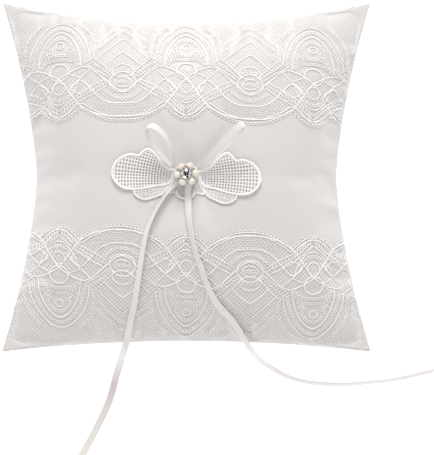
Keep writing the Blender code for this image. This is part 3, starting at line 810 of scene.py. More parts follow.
    def _stuff(self, cover: Piece) -> None:
        """Fills the covers by cloth simulation, the seam and the tuft held.

        Args:
            cover: the sewn covers.
        """
        points = np.zeros(len(cover.data.vertices) * 3)
        cover.data.vertices.foreach_get("co", points)
        before = points.reshape(-1, 3).copy()
        held = cover.vertex_groups.new(name="held")
        from_tuft = np.hypot(before[:, 0], before[:, 1] - self.tuft_y)
        tuft = np.flatnonzero((from_tuft < self.tuft_radius) & (before[:, 2] > self.seam_height))
        held.add([int(i) for i in np.concatenate([self.seam, tuft])], 1.0, "REPLACE")
        cloth = cover.modifiers.new("stuffing", "CLOTH")
        settings = cloth.settings
        settings.quality = self.cloth_quality
        settings.mass = self.cloth_mass
        settings.tension_stiffness = settings.compression_stiffness = self.stretch_stiffness
        settings.shear_stiffness = self.shear_stiffness
        settings.bending_stiffness = self.bend_stiffness
        settings.use_pressure = True
        settings.uniform_pressure_force = self.pressure
        settings.shrink_min = -self.cloth_growth
        settings.vertex_group_mass = "held"
        settings.effector_weights.gravity = 0.0
        cloth.collision_settings.use_collision = False
        cloth.point_cache.frame_start, cloth.point_cache.frame_end = 1, self.frames
        for number in range(1, self.frames + 1):
            bpy.context.scene.frame_set(number)
        shaped = cover.evaluated_get(bpy.context.evaluated_depsgraph_get()).to_mesh()
        shaped.vertices.foreach_get("co", points)
        after = points.reshape(-1, 3)
        moved = after - before
        far = np.linalg.norm(moved, axis=1, keepdims=True)
        after = before + moved * np.minimum(1, self.cap / np.maximum(far, 1e-9))
        cover.modifiers.clear()
        bpy.context.scene.frame_set(1)
        cover.data.vertices.foreach_set("co", after.ravel())
        log.info("the stuffing moved the satin by up to %.1f mm", far.max() / MM)

    def _pucker(self, cover: Piece) -> None:
        """Gathers the satin a little along its seams and keeps the back on the table.

        Args:
            cover: the stuffed covers.
        """
        mesh = cover.data
        points = np.zeros(len(mesh.vertices) * 3)
        mesh.vertices.foreach_get("co", points)
        points = points.reshape(-1, 3)
        normals = np.zeros(len(mesh.vertices) * 3)
        mesh.vertex_normals.foreach_get("vector", normals)
        normals = normals.reshape(-1, 3)
        u, v = self.across(points[:, 0], points[:, 1])
        draw = np.random.default_rng(self.pucker_seed)
        to_side = (1 - np.abs(u)) * self.width / 2
        to_end = (1 - np.abs(v)) * self.length / 2
        for place, distance, other, hand in ((points[:, 1], to_side, to_end, np.sign(u)),
                                             (points[:, 0], to_end, to_side, np.sign(v))):
            wave = np.zeros(len(points))
            for length in self.pucker_waves:
                phase = draw.uniform(0, 2 * np.pi, 2)
                wave += np.sin(2 * np.pi * place / length + np.where(hand > 0, phase[0], phase[1]))
            near = np.exp(-((distance / self.pucker_reach) ** 2))
            near *= np.clip(distance / self.pucker_start, 0, 1)
            near *= np.clip(other / self.pucker_corner, 0, 1) ** 2
            points += normals * (self.pucker_depth * wave * near / self.pucker_sum)[:, None]
        points[:, 2] = np.maximum(points[:, 2], 0.0)
        mesh.vertices.foreach_set("co", points.ravel())
        mesh.update()

    def build(self, finish: Material) -> Piece:
        """Makes the pillow and keeps the front's shape for what is sewn to it.

        Args:
            finish: the satin.
        Returns:
            The pillow.
        """
        cover = self._sewn()
        self._stuff(cover)
        self._pucker(cover)
        points = np.zeros(len(cover.data.vertices) * 3)
        cover.data.vertices.foreach_get("co", points)
        shape = (self.rows + 1, self.columns + 1)
        self.grid = points.reshape(-1, 3)[:shape[0] * shape[1]].reshape(*shape, 3).copy()
        self._crease_seam(cover)
        finer = cover.modifiers.new("finer", "SUBSURF")
        finer.levels = finer.render_levels = 1
        apply_all(cover)
        dress(cover, finish, "pillow")
        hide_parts("front_cover", "back_cover", "fibre_filling")
        return cover

    def _crease_seam(self, cover: Piece) -> None:
        """Keeps the seam's edge crisp under subdivision.

        Args:
            cover: the stuffed covers.
        """
        on_seam = set(int(i) for i in self.seam)
        crease = cover.data.attributes.new("crease_edge", "FLOAT", "EDGE")
        for edge in cover.data.edges:
            if edge.vertices[0] in on_seam and edge.vertices[1] in on_seam:
                crease.data[edge.index].value = self.seam_crispness

    def surface(self, u: Array, v: Array) -> tuple[Points, Points]:
        """Points of the finished front and the directions away from it.

        Args:
            u: how far across, -1 to 1.
            v: how far along, -1 to 1.
        Returns:
            The points and the directions.
        """
        i = np.interp(u, self.u_lines, np.arange(self.columns + 1))
        j = np.interp(v, self.v_lines, np.arange(self.rows + 1))

        def at(j: Array, i: Array) -> Points:
            """The grid's point at a row and a column that needn't be whole."""
            whole_i = np.clip(np.floor(i).astype(int), 0, self.columns - 1)
            whole_j = np.clip(np.floor(j).astype(int), 0, self.rows - 1)
            s, t = i - whole_i, j - whole_j

            def weights(k: Array) -> list[Array]:
                """How much each of the four nearest lines counts."""
                return [-0.5 * k + k * k - 0.5 * k**3, 1 - 2.5 * k * k + 1.5 * k**3,
                        0.5 * k + 2 * k * k - 1.5 * k**3, -0.5 * k * k + 0.5 * k**3]
            found = np.zeros((*np.shape(i), 3))
            for a, share_j in enumerate(weights(t)):
                row = np.clip(whole_j + a - 1, 0, self.rows)
                for b, share_i in enumerate(weights(s)):
                    column = np.clip(whole_i + b - 1, 0, self.columns)
                    found += (share_j * share_i)[..., None] * self.grid[row, column]
            return found
        step = self.normal_reach
        low_i, high_i = np.clip(i - step, 0, self.columns), np.clip(i + step, 0, self.columns)
        low_j, high_j = np.clip(j - step, 0, self.rows), np.clip(j + step, 0, self.rows)
        normal = np.cross(at(j, high_i) - at(j, low_i), at(high_j, i) - at(low_j, i))
        return at(j, i), unit(normal)

    def lifted(self, x: Array, y: Array, lift: Array | float) -> tuple[Points, Points]:
        """Points a little way off the front above places seen from above, and the directions away from it.

        Args:
            x: places across the pillow.
            y: places along it.
            lift: how far off the satin the points lie.
        Returns:
            The points and the directions.
        """
        u, v = self.across(np.asarray(x, float), np.asarray(y, float))
        point, normal = self.surface(np.clip(u, -1, 1), np.clip(v, -1, 1))
        return point + normal * (np.ones(len(point)) * lift)[:, None], normal


# ------------------------------------------------------------------ lace bands
class Repeat(Enum):
    """How a line of the lace is repeated along the band."""

    EACH_WAY = "from each large scallop, and mirrored"
    LARGE = "once at each large scallop"
    SMALL = "once at each small scallop"


PLAIN_CORD, STOUT_CORD, HEAVY_CORD = 0.00066, 0.00075, 0.00080  # widths of the lace's cords
FINE_CORD = 0.0006


@dataclass(frozen=True)
class LaceLine:
    """A cord of the lace, drawn through a few points.

    A point is (along the band, in from the tips of the large scallops), in hundred-and-twenty-fourths of a
    repeat, from the middle of a large scallop or, where it says so, of a small one.
    """

    points: tuple[Pair, ...]
    repeat: Repeat = Repeat.EACH_WAY
    width: float = PLAIN_CORD
    closed: bool = False


def ring_line(centre: Pair, radius: float, repeat: Repeat, stretch: float = 1.0,
              width: float = PLAIN_CORD) -> LaceLine:
    """A round or oval cord of the lace."""
    return LaceLine(tuple(map(tuple, circle(centre, radius, 12, stretch))), repeat, width, True)


LACE_LINES = (
    LaceLine(((0, 4.5), (12, 5.2), (24, 8.6), (33, 13), (41, 18.5), (48.5, 28), (54, 36), (59, 43.5),
              (67, 50), (77, 55), (87, 57), (96, 52), (105, 43.5), (111, 38), (117, 32), (124, 29)),
             width=HEAVY_CORD),
    LaceLine(((0, 17), (12, 18.6), (22, 24.5), (28, 31), (34, 38), (41, 44), (48, 39), (55, 32)),
             width=HEAVY_CORD),
    LaceLine(((31, 36), (36, 32.5), (41, 30), (46, 32.5), (51, 37), (46, 42), (41, 46), (36, 50), (31, 55))),
    LaceLine(((41, 46), (47, 49), (53, 51.5))),
    LaceLine(((0, 69), (10, 62.5), (18, 55.5))),
    LaceLine(((0, 84), (10, 76.5), (19, 69), (26, 63)), width=0.00055),
    ring_line((0, 38.5), 12.8, Repeat.LARGE, 0.80, width=STOUT_CORD),
    ring_line((0, 38.5), 7.4, Repeat.LARGE, 0.70),
    ring_line((0, 50.0), 10.2, Repeat.LARGE, 0.62),
    ring_line((0, 37.5), 6.0, Repeat.SMALL),
    ring_line((0, 53.5), 9.0, Repeat.SMALL, 0.92, width=STOUT_CORD),
    ring_line((0, 81.0), 3.6, Repeat.SMALL, width=FINE_CORD),
    LaceLine(((-19, 44), (-15, 33), (-8, 24.5), (0, 21.5), (8, 24.5), (15, 33), (19, 44)), Repeat.SMALL),
    LaceLine(((-30, 62), (-28, 75), (-23, 86.5), (-15, 96.5), (-5, 103), (5, 103), (15, 96.5), (23, 86.5),
              (28, 75), (30, 62)), Repeat.SMALL),
    LaceLine(((-21, 58), (-19.5, 70), (-15, 81.5), (-8, 90.5), (0, 94.5), (8, 90.5), (15, 81.5), (19.5, 70),
              (21, 58)), Repeat.SMALL, STOUT_CORD),
)
LADDERS = (  # each two cords and the number of bars between them
    (((62, 8), (54, 12), (45, 21), (28, 29), (15, 36)), ((62, 15), (49, 26), (35, 35), (18, 42)), 17),
    (((13, 43), (20, 48.5), (28, 54), (37, 60)), ((8, 45), (14, 52), (21, 59), (28, 65)), 10),
)
UPPER_EDGE, LOWER_EDGE = 0.0285, -0.0335  # Y of the tips of each band's large scallops
UPPER_DRIFT = ((-0.105, -0.0030), (-0.071, -0.0022), (-0.036, 0.0002), (0.0, -0.0027), (0.036, -0.0017),
               (0.071, -0.0048), (0.105, -0.0060))
LOWER_DRIFT = ((-0.105, 0.0105), (-0.071, 0.0073), (-0.036, 0.0029), (0.0, 0.0014), (0.036, -0.0006),
               (0.071, 0.0011), (0.105, 0.0025))
CRESCENT_INNER = ((0, 17), (12, 18.6), (22, 24.5), (28, 31))
BEAD_ROWS = (  # each a repeat, a distance between the beads and the line that they lie on
    (Repeat.SMALL, 3.3, ((-26, 62), (-23.8, 73), (-19, 84), (-11.5, 93.5), (0, 99.3), (11.5, 93.5), (19, 84),
                         (23.8, 73), (26, 62))),
    (Repeat.SMALL, 3.1, ((-18, 60), (-11, 65), (0, 66.5), (11, 65), (18, 60))),
    (Repeat.SMALL, 3.1, ((-17, 64.5), (-10, 69.5), (0, 71), (10, 69.5), (17, 64.5))),
    (Repeat.SMALL, 3.1, ((-15.5, 69), (-8.5, 74))),
    (Repeat.SMALL, 3.1, ((15.5, 69), (8.5, 74))),
    (Repeat.SMALL, 3.1, ((-13.5, 74), (-9, 77.5))),
    (Repeat.SMALL, 3.1, ((13.5, 74), (9, 77.5))),
    (Repeat.SMALL, 3.1, ((-11.5, 79.5), (-7, 86), (0, 88.7), (7, 86), (11.5, 79.5))),
    (Repeat.SMALL, 3.1, ((-14, 36), (-9, 29), (0, 25.5), (9, 29), (14, 36))),
    (Repeat.SMALL, 3.4, ((-33.5, 66), (-34, 78), (-30, 91), (-20, 102))),
    (Repeat.SMALL, 3.4, ((33.5, 66), (34, 78), (30, 91), (20, 102))),
    (Repeat.LARGE, 3.2, ((-17, 31), (-9, 24.5), (0, 22), (9, 24.5), (17, 31))),
    (Repeat.LARGE, 3.0, ((-4.5, 38.5), (4.5, 38.5))),
    (Repeat.LARGE, 3.0, ((-7, 50), (7, 50))),
    (Repeat.LARGE, 3.6, ((-22, 76), (-11, 86), (0, 93), (11, 86), (22, 76))),
    (Repeat.LARGE, 3.6, ((-24, 83), (-12, 93), (0, 100), (12, 93), (24, 83))),
)


@dataclass
class LaceBand:
    """A band of machine lace from a scalloped edge to one end seam of the pillow."""

    name: str
    node: str
    pillow: Pillow
    edge: float  # Y of the tips of the large scallops
    side: int  # +1 for the band that runs to the upper seam, -1 for the other
    drift: tuple[Pair, ...]  # X, and how far the band lies towards +Y there
    repeat: float = 0.0715
    units: float = 124.0  # steps of the drawing in a repeat
    small_scallop: float = 0.0240
    notch_depth: float = 0.0103
    small_drop: float = 0.0034
    mesh_pitch: float = 0.00165
    mesh_thread: Thread = Thread(0.00034, 0.00034 * FLATTENED)
    net_half_width: float = 0.092  # half of the pillow along the lines that the net is evened on
    net_half_length: float = 0.094
    net_start: float = 0.15  # share of the cover behind which there is net
    net_margin: float = 0.0004  # from the edge to the net
    net_lift: float = 0.00022
    rib_lift: float = 0.00034
    cord_lift: float = 0.00046
    picot_pitch: float = 0.0022
    picot_depth: float = 0.0015
    bead: float = 0.00080
    bead_points: int = 8
    bead_thread: Thread = Thread(0.00064, 0.0004)
    ladder_cord: Thread = Thread(PLAIN_CORD, 0.0004, 5)
    ladder_bar: Thread = Thread(0.00058, 0.00034)
    crescent_thread: Thread = Thread(0.00045, 0.00022)
    crescent_rows: tuple[float, float, int] = (0.12, 0.88, 7)  # first and last place, and the number of rows
    crescent_inset: float = 0.0024  # from the edge to the fine threads
    crescent_lift: float = 0.0001  # above the net
    edge_cord: Thread = Thread(0.00062, 0.0004, 5)
    inner_cord: Thread = Thread(0.0007, 0.00045, 5)
    inner_gap: float = 0.0016  # between the two cords of the edge
    edge_inset: float = 0.0007
    edge_step: float = 0.0004
    picot_thread: Thread = Thread(0.0006, 0.0004)
    picot_step: float = 0.0003  # between points of the picots, and the cords take every third
    point_spacing: float = 0.0008
    medallion: tuple[float, float, float, float] = (0.0, 80.0, 27.0, 23.0)  # its middle and its half sizes
    seam_stop: float = 0.994  # where the seam swallows the lace, as a share of the cover
    work: StrandMesh = field(default_factory=StrandMesh)

    def drop(self, x: Array) -> Array:
        """How far the edge stands behind the tips of the large scallops.

        Args:
            x: places along the band.
        Returns:
            The distances.
        """
        from_small = np.abs((x / self.repeat + 0.5) % 1 - 0.5) * self.repeat
        half_small = self.small_scallop / 2
        half_large = (self.repeat - self.small_scallop) / 2
        small = self.small_drop + (self.notch_depth - self.small_drop) * (from_small / half_small) ** 2
        large = self.notch_depth * ((self.repeat / 2 - from_small) / half_large) ** 2
        return np.where(from_small < half_small, small, large)

    def drifted(self, x: Array) -> Array:
        """How far the band lies towards +Y from its own straight line."""
        return np.interp(x, *np.array(self.drift).T)

    def lay(self, flat: Points, lift: float, thread: Thread, closed: bool = False) -> None:
        """Lays a thread on the satin, wherever it is inside the seams.

        Args:
            flat: points (along the band, in from the tips of the large scallops), in metres.
            lift: how far the thread's middle lies off the satin.
            thread: the thread's own size.
            closed: whether it joins up with its own start.
        """
        x, y = flat[:, 0], self.edge + self.side * flat[:, 1] + self.drifted(flat[:, 0])
        u, v = self.pillow.across(x, y)
        inside = (np.abs(u) < self.seam_stop) & (np.abs(v) < self.seam_stop)
        if not inside.any():
            return
        point, normal = self.pillow.lifted(x, y, lift)
        section = thread.section()
        if closed and inside.all():
            self.work.sweep(point, normal, section, closed=True)
            return
        if closed:
            start = int(np.flatnonzero(~inside)[0])
            point, normal, inside = (np.roll(a, -start, 0) for a in (point, normal, inside))
        for part in stretches(inside):
            self.work.sweep(point[part], normal[part], section)

    def _net(self) -> None:
        """Fine diagonal net over the whole band, its holes even along the cloth."""
        pillow, step = self.pillow, self.mesh_pitch / math.sqrt(2)
        u_table, a_table = pillow.profile(self.net_half_width)
        v_table, b_table = pillow.profile(self.net_half_length)
        b = np.arange(0, b_table[-1], step)
        v = self.side * np.interp(b, b_table, v_table)
        keep = v * self.side > self.net_start
        b, v = b[keep], v[keep]
        reach = a_table[-1] + b_table[-1]
        for hand in (-1, 1):
            for start in np.arange(-reach, reach, 2 * step):
                a = start + hand * b
                u = np.sign(a) * np.interp(np.abs(a), a_table, u_table, right=2)
                x, y = pillow.plan(np.clip(u, -1, 1), v)
                depth = self.side * (y - self.edge - self.drifted(x))
                inside = (np.abs(u) < self.seam_stop) & (np.abs(v) < self.seam_stop)
                inside &= (depth > self.drop(x) + self.net_margin) & ~self._in_medallion(x, depth)
                point, normal = pillow.lifted(x, y, self.net_lift)
                for part in stretches(inside):
                    self.work.sweep(point[part], normal[part], self.mesh_thread.section())

    def _in_medallion(self, x: Array, depth: Array) -> Array:
        """Which places lie in a medallion, which is worked in rings and has no net.

        Args:
            x: places along the band.
            depth: how far in from the tips of the large scallops.
        Returns:
            A mask of the places.
        """
        step = self.repeat / self.units
        from_small = ((x / self.repeat + 0.5) % 1 - 0.5) * self.repeat
        middle_x, middle_y, wide, tall = (step * value for value in self.medallion)
        return ((from_small - middle_x) / wide) ** 2 + ((depth - middle_y) / tall) ** 2 < 1

    def _centres(self, repeat: Repeat) -> list[tuple[float, int]]:
        """The middle of each copy of a line, in metres, and its hand.

        Args:
            repeat: how the line is repeated.
        Returns:
            The middles and the hands, 1 or -1.
        """
        large = [(k + 0.5) * self.repeat for k in range(-3, 3)]
        small = [k * self.repeat for k in range(-2, 3)]
        if repeat is Repeat.EACH_WAY:
            return [(x, hand) for x in large for hand in (1, -1)]
        return [(x, 1) for x in (large if repeat is Repeat.LARGE else small)]

    def _drawn(self, points: Sequence[Sequence[float]], closed: bool = False) -> Points:
        """A line of the drawing as a smooth line in metres.

        Args:
            points: the points that the line passes.
            closed: whether it joins up with its own start.
        Returns:
            The line.
        """
        line = smooth_curve(points, steps=8, closed=closed) * (self.repeat / self.units)
        if closed:
            line = np.vstack([line, line[:1]])
        line = evenly(line, self.point_spacing)
        return line[:-1] if closed else line

    def _cords(self) -> None:
        """The heavier cords that draw the pattern."""
        for drawn in LACE_LINES:
            line = self._drawn(drawn.points, drawn.closed)
            cord = Thread(drawn.width, drawn.width * FLATTENED, 5)
            for centre, hand in self._centres(drawn.repeat):
                self.lay(line * (hand, 1) + (centre, 0), self.cord_lift, cord, drawn.closed)

    def _ladders(self) -> None:
        """Pairs of cords with a middle thread and short bars, which leave two rows of holes."""
        for first, second, bars in LADDERS:
            outer, inner = (evenly(self._drawn(points), count=bars) for points in (first, second))
            for centre, hand in self._centres(Repeat.EACH_WAY):
                for line in (outer, inner):
                    self.lay(line * (hand, 1) + (centre, 0), self.cord_lift, self.ladder_cord)
                self.lay((outer + inner) / 2 * (hand, 1) + (centre, 0), self.rib_lift, self.ladder_bar)
                for a, b in zip(outer, inner):
                    bar = np.array([a, (a + b) / 2, b]) * (hand, 1) + (centre, 0)
                    self.lay(bar, self.rib_lift, self.ladder_bar)

    def _crescents(self) -> None:
        """Fine threads along the edge of each large scallop, as far as the cord inside it."""
        inner = self._drawn(CRESCENT_INNER)
        x = evenly(inner, self.point_spacing)[:, 0]
        low = self.drop(self.repeat / 2 + x) + self.crescent_inset
        high = np.interp(x, inner[:, 0], inner[:, 1])
        for share in np.linspace(*self.crescent_rows):
            for centre, hand in self._centres(Repeat.EACH_WAY):
                line = np.stack([centre + hand * x, low + (high - low) * share], 1)
                self.lay(line, self.net_lift + self.crescent_lift, self.crescent_thread)

    def _beads(self) -> None:
        """Small worked rings in rows."""
        for repeat, pitch, row in BEAD_ROWS:
            line = evenly(smooth_curve(row, steps=8), pitch) * self.repeat / self.units
            for centre, _ in self._centres(repeat):
                for place in line:
                    ring = circle(place + (centre, 0), self.bead, self.bead_points)
                    self.lay(ring, self.rib_lift, self.bead_thread, True)

    def _edge(self) -> None:
        """The doubled cord of the scalloped edge and its small loops."""
        x = np.arange(-self.pillow.width / 2, self.pillow.width / 2, self.edge_step)
        edge = evenly(np.stack([x, self.drop(x) + self.edge_inset], 1), self.picot_step)
        out = np.gradient(edge, axis=0)
        out = unit(np.stack([out[:, 1], -out[:, 0]], 1))
        self.lay(edge[::3], self.cord_lift, self.edge_cord)
        self.lay((edge - out * self.inner_gap)[::3], self.cord_lift, self.inner_cord)
        swing = np.abs(np.sin(math.pi * along(edge) / self.picot_pitch))
        self.lay(edge + out * (self.picot_depth * swing)[:, None], self.rib_lift, self.picot_thread)

    def build(self, wardrobe: Wardrobe) -> Piece:
        """Makes the net and the cords that are worked on it, as one sheet.

        Args:
            wardrobe: the finishes.
        Returns:
            The band.
        """
        self._net()
        net = self.work.made(self.name)
        net.data.materials.append(wardrobe["net"])
        self.work = StrandMesh()
        for step in (self._crescents, self._ladders, self._cords, self._beads, self._edge):
            step()
        cords = self.work.made("cords")
        cords.data.materials.append(wardrobe["cord"])
        only(net)
        cords.select_set(True)
        bpy.ops.object.join()
        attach(net, "pillow")
        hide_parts(self.node)
        log.info("%s: %d faces", net.name, len(net.data.polygons))
        return net


# ------------------------------------------------------------------ lace butterfly
@dataclass
class Butterfly:
    """The lace butterfly that is sewn under the bow, in a body and two wings."""

    pillow: Pillow
    turn: float = math.radians(-3.0)
    gap: float = 0.0007  # middle of the wings' lace above the satin
    tip_rise: float = 0.0009
    wing_root: float = 0.0065  # from the pillow's middle line to where a wing begins to rise
    wing_reach: float = 0.034  # from there to its tip
    fore: tuple[Pair, ...] = (
        (0.0068, 0.0022), (0.0105, 0.0036), (0.0140, 0.0060), (0.0180, 0.0109), (0.0220, 0.0137),
        (0.0250, 0.0124), (0.0275, 0.0098), (0.0315, 0.0103), (0.0362, 0.0086), (0.0400, 0.0046),
        (0.0411, -0.0010), (0.0390, -0.0058), (0.0350, -0.0088), (0.0305, -0.0095), (0.0240, -0.0088),
        (0.0170, -0.0069), (0.0112, -0.0058), (0.0092, -0.0040))
    hind: tuple[Pair, ...] = (
        (0.0106, -0.0056), (0.0170, -0.0068), (0.0240, -0.0086), (0.0284, -0.0096), (0.0283, -0.0122),
        (0.0252, -0.0143), (0.0220, -0.0148), (0.0185, -0.0138), (0.0150, -0.0122), (0.0127, -0.0108))
    middle: tuple[Pair, ...] = (
        (0.0000, 0.0060), (0.0048, 0.0048), (0.0056, 0.0022), (0.0078, -0.0040), (0.0108, -0.0098),
        (0.0066, -0.0096), (0.0052, -0.0104), (0.0040, -0.0120), (0.0000, -0.0132))
    fan: Pair = (-0.022, -0.002)  # where the rows of the wings' net point from
    hole: float = 0.00165
    net_thread: float = 0.00104
    rib: float = 0.00072
    edge_cord: float = 0.00146
    flatness: float = 0.34
    close: float = 1.08  # width of a close rib, as a share of the distance between two
    under: float = -0.0003  # how the close ribs lie to the open threads
    over: float = 0.0001  # how the arcs lie to the threads that they cross
    fore_over: float = 0.0003  # how the fore wing's edge lies to the hind wing's
    abdomen_over: float = 0.0007
    veil: Pair = (0.0023, 0.0021)  # between the open threads over the hind wing's ribs
    veil_thread: float = 0.0006
    point_spacing: float = 0.0006
    wing_area: float = 0.00062
    middle_area: float = 0.00022
    square: float = 1.15  # side of the square that a part is cut from, to the root of its area

    def on_satin(self, side: int, flat: Points, lift: Array | float) -> tuple[Points, Points]:
        """Points above the satin from coordinates in the lace.

        Args:
            side: 1, or -1 for the left wing, which mirrors the right one.
            flat: points of the right wing.
            lift: how far above the middle of the lace they lie.
        Returns:
            The points and the directions away from the satin.
        """
        x, y = side * flat[:, 0], flat[:, 1]
        cos, sin = math.cos(self.turn), math.sin(self.turn)
        rise = self.tip_rise * np.clip((flat[:, 0] - self.wing_root) / self.wing_reach, 0, 1)
        return self.pillow.lifted(cos * x - sin * y, sin * x + cos * y + self.pillow.tuft_y,
                                  self.gap + rise + lift)

    @staticmethod
    def _inside(flat: Points, outline: Points) -> Array:
        """Which points lie inside a closed outline.

        Args:
            flat: the points.
            outline: the outline, one point in each row.
        Returns:
            A mask of the points.
        """
        x, y = flat[:, 0, None], flat[:, 1, None]
        a, b = outline, np.roll(outline, -1, 0)
        crosses = (a[:, 1] > y) != (b[:, 1] > y)
        slope = (b[:, 0] - a[:, 0]) / np.where(a[:, 1] == b[:, 1], 1e-12, b[:, 1] - a[:, 1])
        return (crosses & (x < a[:, 0] + (y - a[:, 1]) * slope)).sum(1) % 2 == 1

    def _lay(self, work: StrandMesh, side: int, flat: Points, lift: float, width: float, sides: int,
             closed: bool = False) -> None:
        """Lays one thread of a wing or of the body."""
        point, normal = self.on_satin(side, flat, lift)
        work.sweep(point, normal, Thread(width, width * self.flatness, sides).section(), closed)

    def _fill(self, work: StrandMesh, side: int, outline: Points, rays: float, arcs: float, width: float,
              lift: float) -> None:
        """Fills an outline with threads that fan out and with arcs across them.

        Args:
            work: what the threads are added to.
            side: 1, or -1 for the left wing.
            outline: the outline.
            rays: the distance between the threads that fan out.
            arcs: the distance between the arcs, or 0 for none.
            width: the threads' width.
            lift: how far above the middle of the lace they lie.
        """
        fan = np.array(self.fan)
        polar = outline - fan
        reach, angles = np.linalg.norm(polar, axis=1), np.arctan2(polar[:, 1], polar[:, 0])
        middle = (reach.min() + reach.max()) / 2
        for angle in np.arange(angles.min(), angles.max(), rays / middle):
            r = np.arange(reach.min(), reach.max(), self.point_spacing)
            line = fan + np.stack([r * math.cos(angle), r * math.sin(angle)], 1)
            for part in stretches(self._inside(line, outline)):
                self._lay(work, side, line[part], lift, width, 4)
        if arcs:
            for r in np.arange(reach.min(), reach.max(), arcs):
                turn = np.arange(angles.min(), angles.max(), self.point_spacing / r)
                line = fan + np.stack([r * np.cos(turn), r * np.sin(turn)], 1)
                for part in stretches(self._inside(line, outline)):
                    self._lay(work, side, line[part], lift + self.over, width, 4)

    def _outline(self, points: Sequence[Sequence[float]]) -> Points:
        """A closed outline as a smooth line."""
        line = smooth_curve(points, steps=10, closed=True)
        return evenly(np.vstack([line, line[:1]]), self.point_spacing)[:-1]

    def _sewn(self, name: str, body: str, node: str, fill: StrandMesh, cords: StrandMesh, area: float,
              finish: Material) -> list[Piece]:
        """Makes the filling of a part of the butterfly a sheet, with its edge cords on it.

        Args:
            name: what the part is called.
            body: the body that it rides on.
            node: the CAD node that it stands for.
            fill: the part's net or ribs.
            cords: its edge cords.
            area: the part's area in square metres. Not used.
            finish: the thread's material.
        Returns:
            The filling and the cords.
        """
        sheet = dress(fill.made(name + "_filling"), finish, body)
        edge = dress(cords.made(name + "_cords"), finish, body)
        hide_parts(node)
        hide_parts(node)
        return [sheet, edge]

    def _wing(self, name: str, side: int, finish: Material) -> list[Piece]:
        """One wing: an open net in the fore wing, close ribs in the hind wing and a corded edge.

        Args:
            name: the wing, which is also its body.
            side: 1, or -1 for the left wing.
            finish: the thread's material.
        Returns:
            The wing's filling and its cords.
        """
        fill, cords = StrandMesh(), StrandMesh()
        fore, hind = self._outline(self.fore), self._outline(self.hind)
        self._fill(fill, side, hind, self.rib, 0.0, self.rib * self.close, self.under)
        self._fill(fill, side, hind, *self.veil, self.veil_thread, 0.0)
        self._fill(fill, side, fore, self.hole, self.hole, self.net_thread, 0.0)
        self._lay(cords, side, hind, 0.0, self.edge_cord * 0.8, 8, True)
        self._lay(cords, side, fore, self.fore_over, self.edge_cord, 8, True)
        return self._sewn(name, name, "butterfly_" + name, fill, cords, self.wing_area, finish)

    def build(self, finish: Material) -> list[Piece]:
        """Makes the body and both wings.

        Args:
            finish: the thread's material.
        Returns:
            The pieces.
        """
        fill, cords = StrandMesh(), StrandMesh()
        right = self._outline([*self.middle, *[(-x, y) for x, y in self.middle[-2:0:-1]]])
        for x in np.arange(-0.0105, 0.0106, self.rib):
            line = np.stack([np.full(40, x), np.linspace(-0.013, 0.006, 40)], 1)
            for part in stretches(self._inside(line, right)):
                self._lay(fill, 1, line[part], self.under, self.rib * self.close, 4)
        self._lay(cords, 1, right, 0.0, self.edge_cord * 0.9, 8, True)
        abdomen = smooth_curve(((-0.0046, -0.0084), (-0.0044, -0.0108), (-0.0030, -0.0126), (0, -0.0134),
                                (0.0030, -0.0126), (0.0044, -0.0108), (0.0046, -0.0084)), steps=8)
        self._lay(cords, 1, abdomen, self.abdomen_over, self.edge_cord * 0.85, 8)
        body = self._sewn("butterfly_middle", "pillow", "butterfly_body", fill, cords, self.middle_area,
                          finish)
        return body + self._wing("left_wing", -1, finish) + self._wing("right_wing", 1, finish)


# ------------------------------------------------------------------ ribbon bow
@dataclass(frozen=True)
class RibbonLoop:
    """One loop of the bow, as a teardrop that stands up from the knot."""

    body: str
    node: str
    root: Pair  # from the middle of the button
    tip: Pair
    rise: float  # of the loop from level, in radians
    roll: float  # of the ribbon's width from level
    opening: float  # between the loop's two sides, where it is fullest
    spread: float = 0.0016  # between the loop's two ends


@dataclass(frozen=True)
class RibbonTail:
    """One tail of the bow: its route and how it turns on edge along the way."""

    node: str
    route: tuple[Triple, ...]
    turns: tuple[Pair, ...]  # (share of the length, degrees from flat)
    length: float = 0.25


LEFT_LOOP = RibbonLoop("left_loop", "bow_left_loop", (-0.0074, 0.0048), (-0.0202, 0.0258),
                       math.radians(39), math.radians(-45), 0.0104)
RIGHT_LOOP = RibbonLoop("right_loop", "bow_right_loop", (0.0082, 0.0035), (0.0322, 0.0265),
                        math.radians(35), math.radians(11), 0.0060)
LEFT_TAIL = RibbonTail("left_ribbon_tail", (
    (-0.0037, -0.0051, 0.0577), (-0.0054, -0.0070, 0.0576), (-0.0086, -0.0103, 0.0584),
    (-0.0111, -0.0129, 0.0590), (-0.0145, -0.0181, 0.0592), (-0.0174, -0.0225, 0.0588),
    (-0.0197, -0.0272, 0.0583), (-0.0225, -0.0351, 0.0571), (-0.0254, -0.0503, 0.0540),
    (-0.0282, -0.0669, 0.0490), (-0.0311, -0.0830, 0.0420), (-0.0326, -0.0900, 0.0382),
    (-0.0345, -0.0968, 0.0333), (-0.0360, -0.1012, 0.0258), (-0.0371, -0.1036, 0.0174),
    (-0.0381, -0.1062, 0.0102), (-0.0394, -0.1095, 0.0050), (-0.0415, -0.1165, 0.0026),
    (-0.0439, -0.1255, 0.0021), (-0.0510, -0.1410, 0.0021), (-0.0596, -0.1570, 0.0021),
    (-0.0665, -0.1710, 0.0021), (-0.0705, -0.1850, 0.0021), (-0.0700, -0.1990, 0.0021),
    (-0.0645, -0.2135, 0.0021)),
    ((0.0, 60), (0.08, 66), (0.2, 44), (0.34, 20), (0.5, 5), (1.0, 0)))
